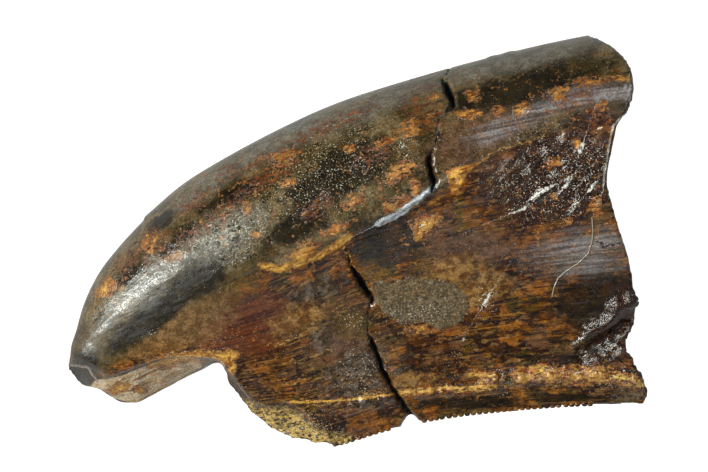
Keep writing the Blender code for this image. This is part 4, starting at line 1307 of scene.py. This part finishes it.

# %% [markdown]
# ### Stains, crusts, patches and painted reflections
# Each kind of mark is a coat of two colours, and they all go on in the same way. So a
# table says what each one looks like, and a loop lays them on in its order. A stain is
# smooth and shows the grain below, a crust is coarse and flaky. The flakes are brightest
# in the core of a mark. The grey haze along the front edge and the sheen are painted
# reflections, and the pale coat is partly a painted highlight.

# %% Kinds of mark
# Two colours, the pattern that parts them, size, break and softness of the rim, strength,
# roughness and grain
COATS = [
    # Painted reflection along the front edge, and grey tone on the hidden faces
    ("haze_tone_and_reflection", (150, 146, 136), (112, 104, 92), "blots", 1.4, 0.8, 0.60, 0.60, 0.24, 0.2),
    ("maroon", (118, 62, 42), (76, 38, 24), "streaks", 0.9, 1.4, 0.45, 0.85, 0.16, 0.4),
    ("plum", (124, 92, 76), (86, 62, 50), "blots", 0.9, 1.6, 0.45, 0.8, 0.16, 0.5),
    ("rose", (158, 120, 82), (112, 84, 56), "blots", 0.7, 1.4, 0.45, 0.8, 0.18, 0.4),
    ("olive", (124, 102, 58), (98, 78, 42), "blots", 0.6, 2.2, 0.60, 0.5, 0.18, 0.6),
    ("dark", (42, 38, 26), (16, 13, 8), "blots", 0.6, 1.8, 0.35, 0.88, 0.16, 0.4),
    ("slate", (122, 108, 98), (60, 48, 38), "blots", 0.35, 2.6, 0.40, 0.7, 0.22, 1.0),
    # Painted sheen: a grey reflection laid into the colour
    ("painted_sheen", (164, 158, 160), (106, 94, 92), "streaks", 0.9, 0.8, 0.80, 0.85, 0.13, 0.2),
    ("tar", (72, 42, 20), (10, 6, 3), "crumbs", 0.4, 1.8, 0.40, 0.92, 0.08, 1.4),
    ("gold", (206, 158, 92), (124, 82, 38), "blots", 0.45, 2.8, 0.50, 0.55, 0.25, 1.0),
    # Partly painted highlight beside the tip and on the ridge, and pale flakes
    ("pale", (190, 186, 164), (14, 12, 8), "flakes", 0.25, 2.4, 0.45, 0.72, 0.25, 1.2),
    ("filler", (136, 120, 92), (90, 76, 58), "crumbs", 0.5, 2.6, 0.30, 0.9, 0.28, 1.8),
    ("rust", (166, 92, 34), (84, 42, 14), "flakes", 0.30, 3.4, 0.25, 0.8, 0.35, 0.8),
    ("worn", (70, 54, 46), (22, 16, 12), "crumbs", 0.3, 0.8, 0.20, 0.95, 0.30, 3.0),
    ("wedge", (255, 196, 96), (150, 88, 30), "flakes", 0.3, 1.4, 0.15, 0.95, 0.25, 1.4),
    ("crumb", (226, 188, 104), (74, 52, 24), "flakes", 0.3, 2.8, 0.30, 0.9, 0.40, 1.8),
    ("ochre", (244, 176, 80), (122, 66, 20), "flakes", 0.30, 3.2, 0.20, 0.9, 0.35, 1.2),
    ("crust", (255, 206, 100), (124, 64, 14), "flakes", 0.30, 2.6, 0.18, 0.95, 0.22, 2.4),
    ("golden", (250, 194, 92), (156, 96, 32), "flakes", 0.34, 2.0, 0.25, 0.9, 0.28, 1.8),
]
# Coats that lie on the skin as separate flecks: the larger the number, the fewer they are
BROKEN_UP = {"rust": 0.46, "ochre": 0.39, "slate": 0.36, "crust": 0.38}
# Coats that are partly stained orange, and how strongly
WARM, ORANGE = {"ochre": 0.3, "crust": 0.5, "wedge": 0.4}, (206, 96, 22)

# %% Lay on the stains, crusts, patches and painted reflections
flakes = stretch(tree, patterns["crystals"], 0.20, 0.65, kind="LINEAR")
for name, first, second, kind, size, broken, softness, strength, rough, grainy in COATS:
    rim = ragged(name, size, broken, softness)
    mask = times(rim["Mask"], strength)
    if name in BROKEN_UP:
        mask = times(mask, where("fleck", BROKEN_UP[name], BROKEN_UP[name] + 0.08))
    if kind == "flakes":
        share = times(flakes, between(tree, rim["Core"], 0.35, 1.0))
    else:
        share = where(kind, 0.42, 0.60)
    coat = blend(tree, share, colour(*second), colour(*first))
    if name in WARM:
        coat = paint(coat, where("mottle", 0.48, 0.58, WARM[name]), ORANGE)
    tone, roughness, grain = lay_on((tone, roughness, grain), mask, coat, rough, grainy)
print("coats", len(COATS), "and", len(tree.nodes), "nodes")

# %% [markdown]
# ### Freckles, painted sparkle and glints
# Ochre freckles are sprinkled over some places. White flashes of single crystals are
# painted into the colour as highlights, few of them everywhere and many where the skin is
# rough. Each could be placed by hand, but there are hundreds, so noise places them and the
# marks only say where they are dense.

# %% Freckles, painted sparkle and glints
freckled = times(ragged("freckles", 1.2, 2.0, 0.5)["Mask"], where("freckles", 0.59, 0.63))
coat = blend(tree, patterns["crumbs"], colour(120, 66, 24), colour(214, 146, 72))
tone = blend(tree, freckled, tone, coat)
roughness = between(tree, freckled, roughness, 0.45)
sparkling = stretch(tree, mark_of(tree, "painted_sparkle"), -0.6, 0.6, 0.0, 0.10)
painted_sparkle = maths(tree, "ADD", patterns["painted_sparkle"], sparkling)
glinting = stretch(tree, mark_of(tree, "glints"), -0.5, 0.5, -0.3, 0.05)
glints = maths(tree, "ADD", patterns["slivers"], glinting)
painted_sparkle = stretch(tree, painted_sparkle, 0.74, 0.80, 0.0, 0.8)
painted_sparkle = maths(tree, "MAXIMUM", painted_sparkle, stretch(tree, glints, 0.68, 0.70))
# White sparkle and glints painted into the colour: painted highlights
tone = paint(tone, painted_sparkle, (250, 246, 230))
print("painted_sparkle", len(tree.nodes), "nodes")

# %% [markdown]
# ### Thin lines
# Painted highlights along rims, a ridge and glints, painted shade along ledges and hollows, and pale
# and orange lines are thin lines, some of them finer than the mesh.
# Their marks are distances, which run evenly from vertex to vertex, so a line that is
# drawn where the distance is near 0 stays thin and sharp.

# %% Thin lines
# Name, half width in pixels, colour, strength, how wavy in pixels, and how many gaps
THIN_COATS = [
    # Painted highlight on the rim
    ("rim_highlight_line", 1.0, (226, 222, 210), 0.9, 0.6, 0.36),
    ("tip_line", 1.2, (172, 156, 150), 0.8, 1.0, 0.36),
    # Painted shade at the foot of the step
    ("ledge_shade_line", 1.4, (30, 20, 10), 0.7, 3.5, 0.42),
    # Painted shade in the root's hollows
    ("root_hollow_shade_line", 1.2, (18, 12, 6), 0.9, 3.0, 0.36),
    # Painted highlight on the ridge
    ("gloss_highlight_line", 3.2, (206, 212, 222), 0.95, 1.6, 0.30),
    # Painted highlights: glints
    ("glint_line", 1.6, (252, 250, 244), 1.0, 2.2, 0.40),
    ("seam_line", 1.3, (244, 186, 96), 0.9, 1.4, 0.34),
    ("pale_line", 0.8, (214, 166, 96), 0.75, 3.5, 0.42),
]
for name, half_width, tint, strength, wavy, gaps in THIN_COATS:
    wave = stretch(tree, patterns["blots"], 0.3, 0.7, -wavy, wavy, "LINEAR")
    away = maths(tree, "ABSOLUTE", maths(tree, "ADD", mark_of(tree, name), wave))
    mask = stretch(tree, away, half_width * 0.6, half_width * 1.2, strength, 0.0)
    mask = times(mask, stretch(tree, patterns["crumbs"], gaps, gaps + 0.10, 0.15, 1.0))
    tone = paint(tone, mask, tint)
print("thin lines", len(THIN_COATS))

# %% [markdown]
# ### Specks, crack, fibre and polish
# All of the fossil is finely speckled, light and dark. The crack is painted black and dull
# inside, which is painted shade, and the fibre is pale. The enamel beside the tip was
# polished along its flutes, and it has a fine crackle. That is where the long highlight
# lies, so it is smoother than the rest but for dull scratches.

# %% Specks, crack and fibre
speckle = stretch(tree, patterns["speck"], 0.3, 0.7, 0.45, 1.55, "LINEAR")
tone = node(tree, "ShaderNodeHueSaturation", {"Color": tone, "Value": speckle}).outputs[0]
# The crack's slots are painted near black: painted shade inside the crack
crack = stretch(tree, mark_of(tree, "crack"), -0.05, 0.35)
tone = paint(tone, crack, (8, 6, 4))
roughness = between(tree, crack, roughness, 0.9)
tone = paint(tone, mark_of(tree, "fibre"), (176, 168, 150))
dust = stretch(tree, patterns["dust"], 0.3, 0.7, -0.04, 0.06, "LINEAR")
roughness = maths(tree, "ADD", roughness, dust, clamp=True)
print("specks", len(tree.nodes), "nodes")

# %% Polish beside the tip
CRACKLE_SIZE, CRACKLE_SCALE = 0.90, 5.0
fluted = ragged("fluted", 1.0, 0.6, 0.3)["Mask"]
grain = between(tree, fluted, grain, 0.12)
inputs = {"Vector": along_growth(CRACKLE_SIZE, CRACKLE_SIZE), "Scale": CRACKLE_SCALE}
crackle = node(tree, "ShaderNodeTexVoronoi", inputs, feature="DISTANCE_TO_EDGE").outputs[0]
crackle = times(stretch(tree, crackle, 0.10, 0.04), fluted)
tone = paint(tone, crackle, (22, 20, 12))
roughness = between(tree, fluted, roughness, 0.26)
dull = maths(tree, "MAXIMUM", where("polish", 0.53, 0.60), where("crumbs", 0.56, 0.62))
dull = maths(tree, "MAXIMUM", times(fluted, dull), crackle)
roughness = between(tree, dull, roughness, 0.50)
print("polish", len(tree.nodes), "nodes")

# %% [markdown]
# ### Fine relief
# Hair lines, streaks, ripples and single grains are a few hundredths of a millimetre high,
# which is finer than the mesh, so they are left to the Bump node. Its height is the sum of
# the patterns, each times its own height. The coats say how grainy a place is.

# %% Relief, and the joins to the shader
# Pattern and height in millimetres
RELIEF = [
    ("hair", between(tree, fluted, 0.010, 0.002)), ("streaks", between(tree, fluted, 0.020, 0.006)),
    ("ripple", 0.035), ("polish", times(fluted, 0.006)), ("speck", times(grain, 0.014)),
    ("mottle", times(grain, 0.05)),
]
GLASSINESS = 1.65
relief = 0.0
for name, height in RELIEF:
    relief = maths(tree, "ADD", relief, times(patterns[name], height))
bump = node(tree, "ShaderNodeBump", {"Height": relief, "Strength": 1.0, "Distance": MM})
tree.links.new(tone, shader.inputs["Base Color"])
tree.links.new(roughness, shader.inputs["Roughness"])
tree.links.new(bump.outputs[0], shader.inputs["Normal"])
shader.inputs["IOR"].default_value = GLASSINESS
tooth.data.materials.clear()
tooth.data.materials.append(finish)
print("finish", len(tree.nodes), "nodes")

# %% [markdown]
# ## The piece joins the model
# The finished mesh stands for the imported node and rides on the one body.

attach(tooth, "root")
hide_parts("tooth")

# %% [markdown]
# ## Floor, light and camera
# The tooth lies on a plain white table under soft light. The lens sees the table as pure
# white, while the tooth mirrors a duller one, which shows as a grey band along the rounded
# front edge; that band is also painted into the finish as a grey reflection. The main
# softbox stands to the left and makes the long highlight beside the tip, and weaker ones
# fill in from the front and the right.

# %% Floor
TABLE_SIZE = 4.0
TABLE_GREY = (0.30, 0.30, 0.30, 1)
TABLE_GLOW = 1.0
TABLE_SHINE, TABLE_WHITE = (0.23, 0.24, 0.23, 1), (1, 1, 1, 1)


def make_table_finish():
    """White for the camera, and a plain lit white surface for the reflections in the tooth."""
    material = bpy.data.materials.new("white_table")
    material.use_nodes = True
    tree = material.node_tree
    shader = tree.nodes["Principled BSDF"]
    shader.inputs["Base Color"].default_value = TABLE_GREY
    shader.inputs["Roughness"].default_value = 0.9
    shader.inputs["Specular IOR Level"].default_value = 0.0
    shader.inputs["Emission Strength"].default_value = TABLE_GLOW
    direct = node(tree, "ShaderNodeLightPath").outputs["Is Camera Ray"]
    glow = blend(tree, direct, TABLE_SHINE, TABLE_WHITE)
    tree.links.new(glow, shader.inputs["Emission Color"])
    return material


bpy.ops.object.select_all(action="DESELECT")
bpy.ops.mesh.primitive_plane_add(size=TABLE_SIZE, location=(0, 0, 0))
floor = bpy.context.object
floor.name = "table"
floor.data.materials.append(make_table_finish())
print("table", TABLE_SIZE, "m wide")

# %% Lights
# Name, azimuth and elevation in degrees, distance, width and height in millimetres,
# radiance and tint. Azimuth 0 is +X.
SOFTBOXES = [
    ("left_strip", 192, 42, 600, 44, 440, 80, (0.97, 1.0, 0.92)),
    ("front_box", -60, 16, 700, 320, 160, 0.6, (0.97, 0.98, 1.0)),
    ("low_card", -80, 48, 700, 300, 140, 0.9, (0.92, 0.96, 1.0)),
    ("right_box", 40, 55, 700, 260, 260, 3.0, (1, 1, 1)),
]
ROOM_TINT, ROOM_LIGHT = (1.0, 0.98, 0.94, 1), 0.09


def softbox(name, azimuth, elevation, distance, width, height, radiance, tint):
    """A rectangular lamp that faces the tooth."""
    lamp = bpy.data.lights.new(name, "AREA")
    lamp.shape, lamp.size, lamp.size_y = "RECTANGLE", width * MM, height * MM
    lamp.energy, lamp.color = radiance * math.pi * width * height * MM**2, tint
    holder = bpy.data.objects.new(name, lamp)
    bpy.context.scene.collection.objects.link(holder)
    azimuth, elevation = math.radians(azimuth), math.radians(elevation)
    flat = math.cos(elevation)
    way = Vector((math.cos(azimuth) * flat, math.sin(azimuth) * flat, math.sin(elevation)))
    holder.location = way * distance * MM
    holder.rotation_euler = way.to_track_quat("Z", "Y").to_euler()


for box in SOFTBOXES:
    softbox(*box)
world = bpy.data.worlds.new("studio")
world.use_nodes = True
room = world.node_tree.nodes["Background"]
room.inputs["Color"].default_value = ROOM_TINT
room.inputs["Strength"].default_value = ROOM_LIGHT
bpy.context.scene.world = world
print("lights", [box[0] for box in SOFTBOXES])

# %% Camera
camera_data = bpy.data.cameras.new("camera")
camera_data.lens = LENS
camera_data.sensor_width = SENSOR
camera_data.clip_start, camera_data.clip_end = 0.01, 10.0
camera = bpy.data.objects.new("camera", camera_data)
bpy.context.scene.collection.objects.link(camera)
camera.location = Vector((MIDDLE[0], MIDDLE[1], MIDDLE_HEIGHT + VIEW_DISTANCE)) * MM
bpy.context.scene.camera = camera
bpy.context.scene.view_settings.view_transform = "Standard"
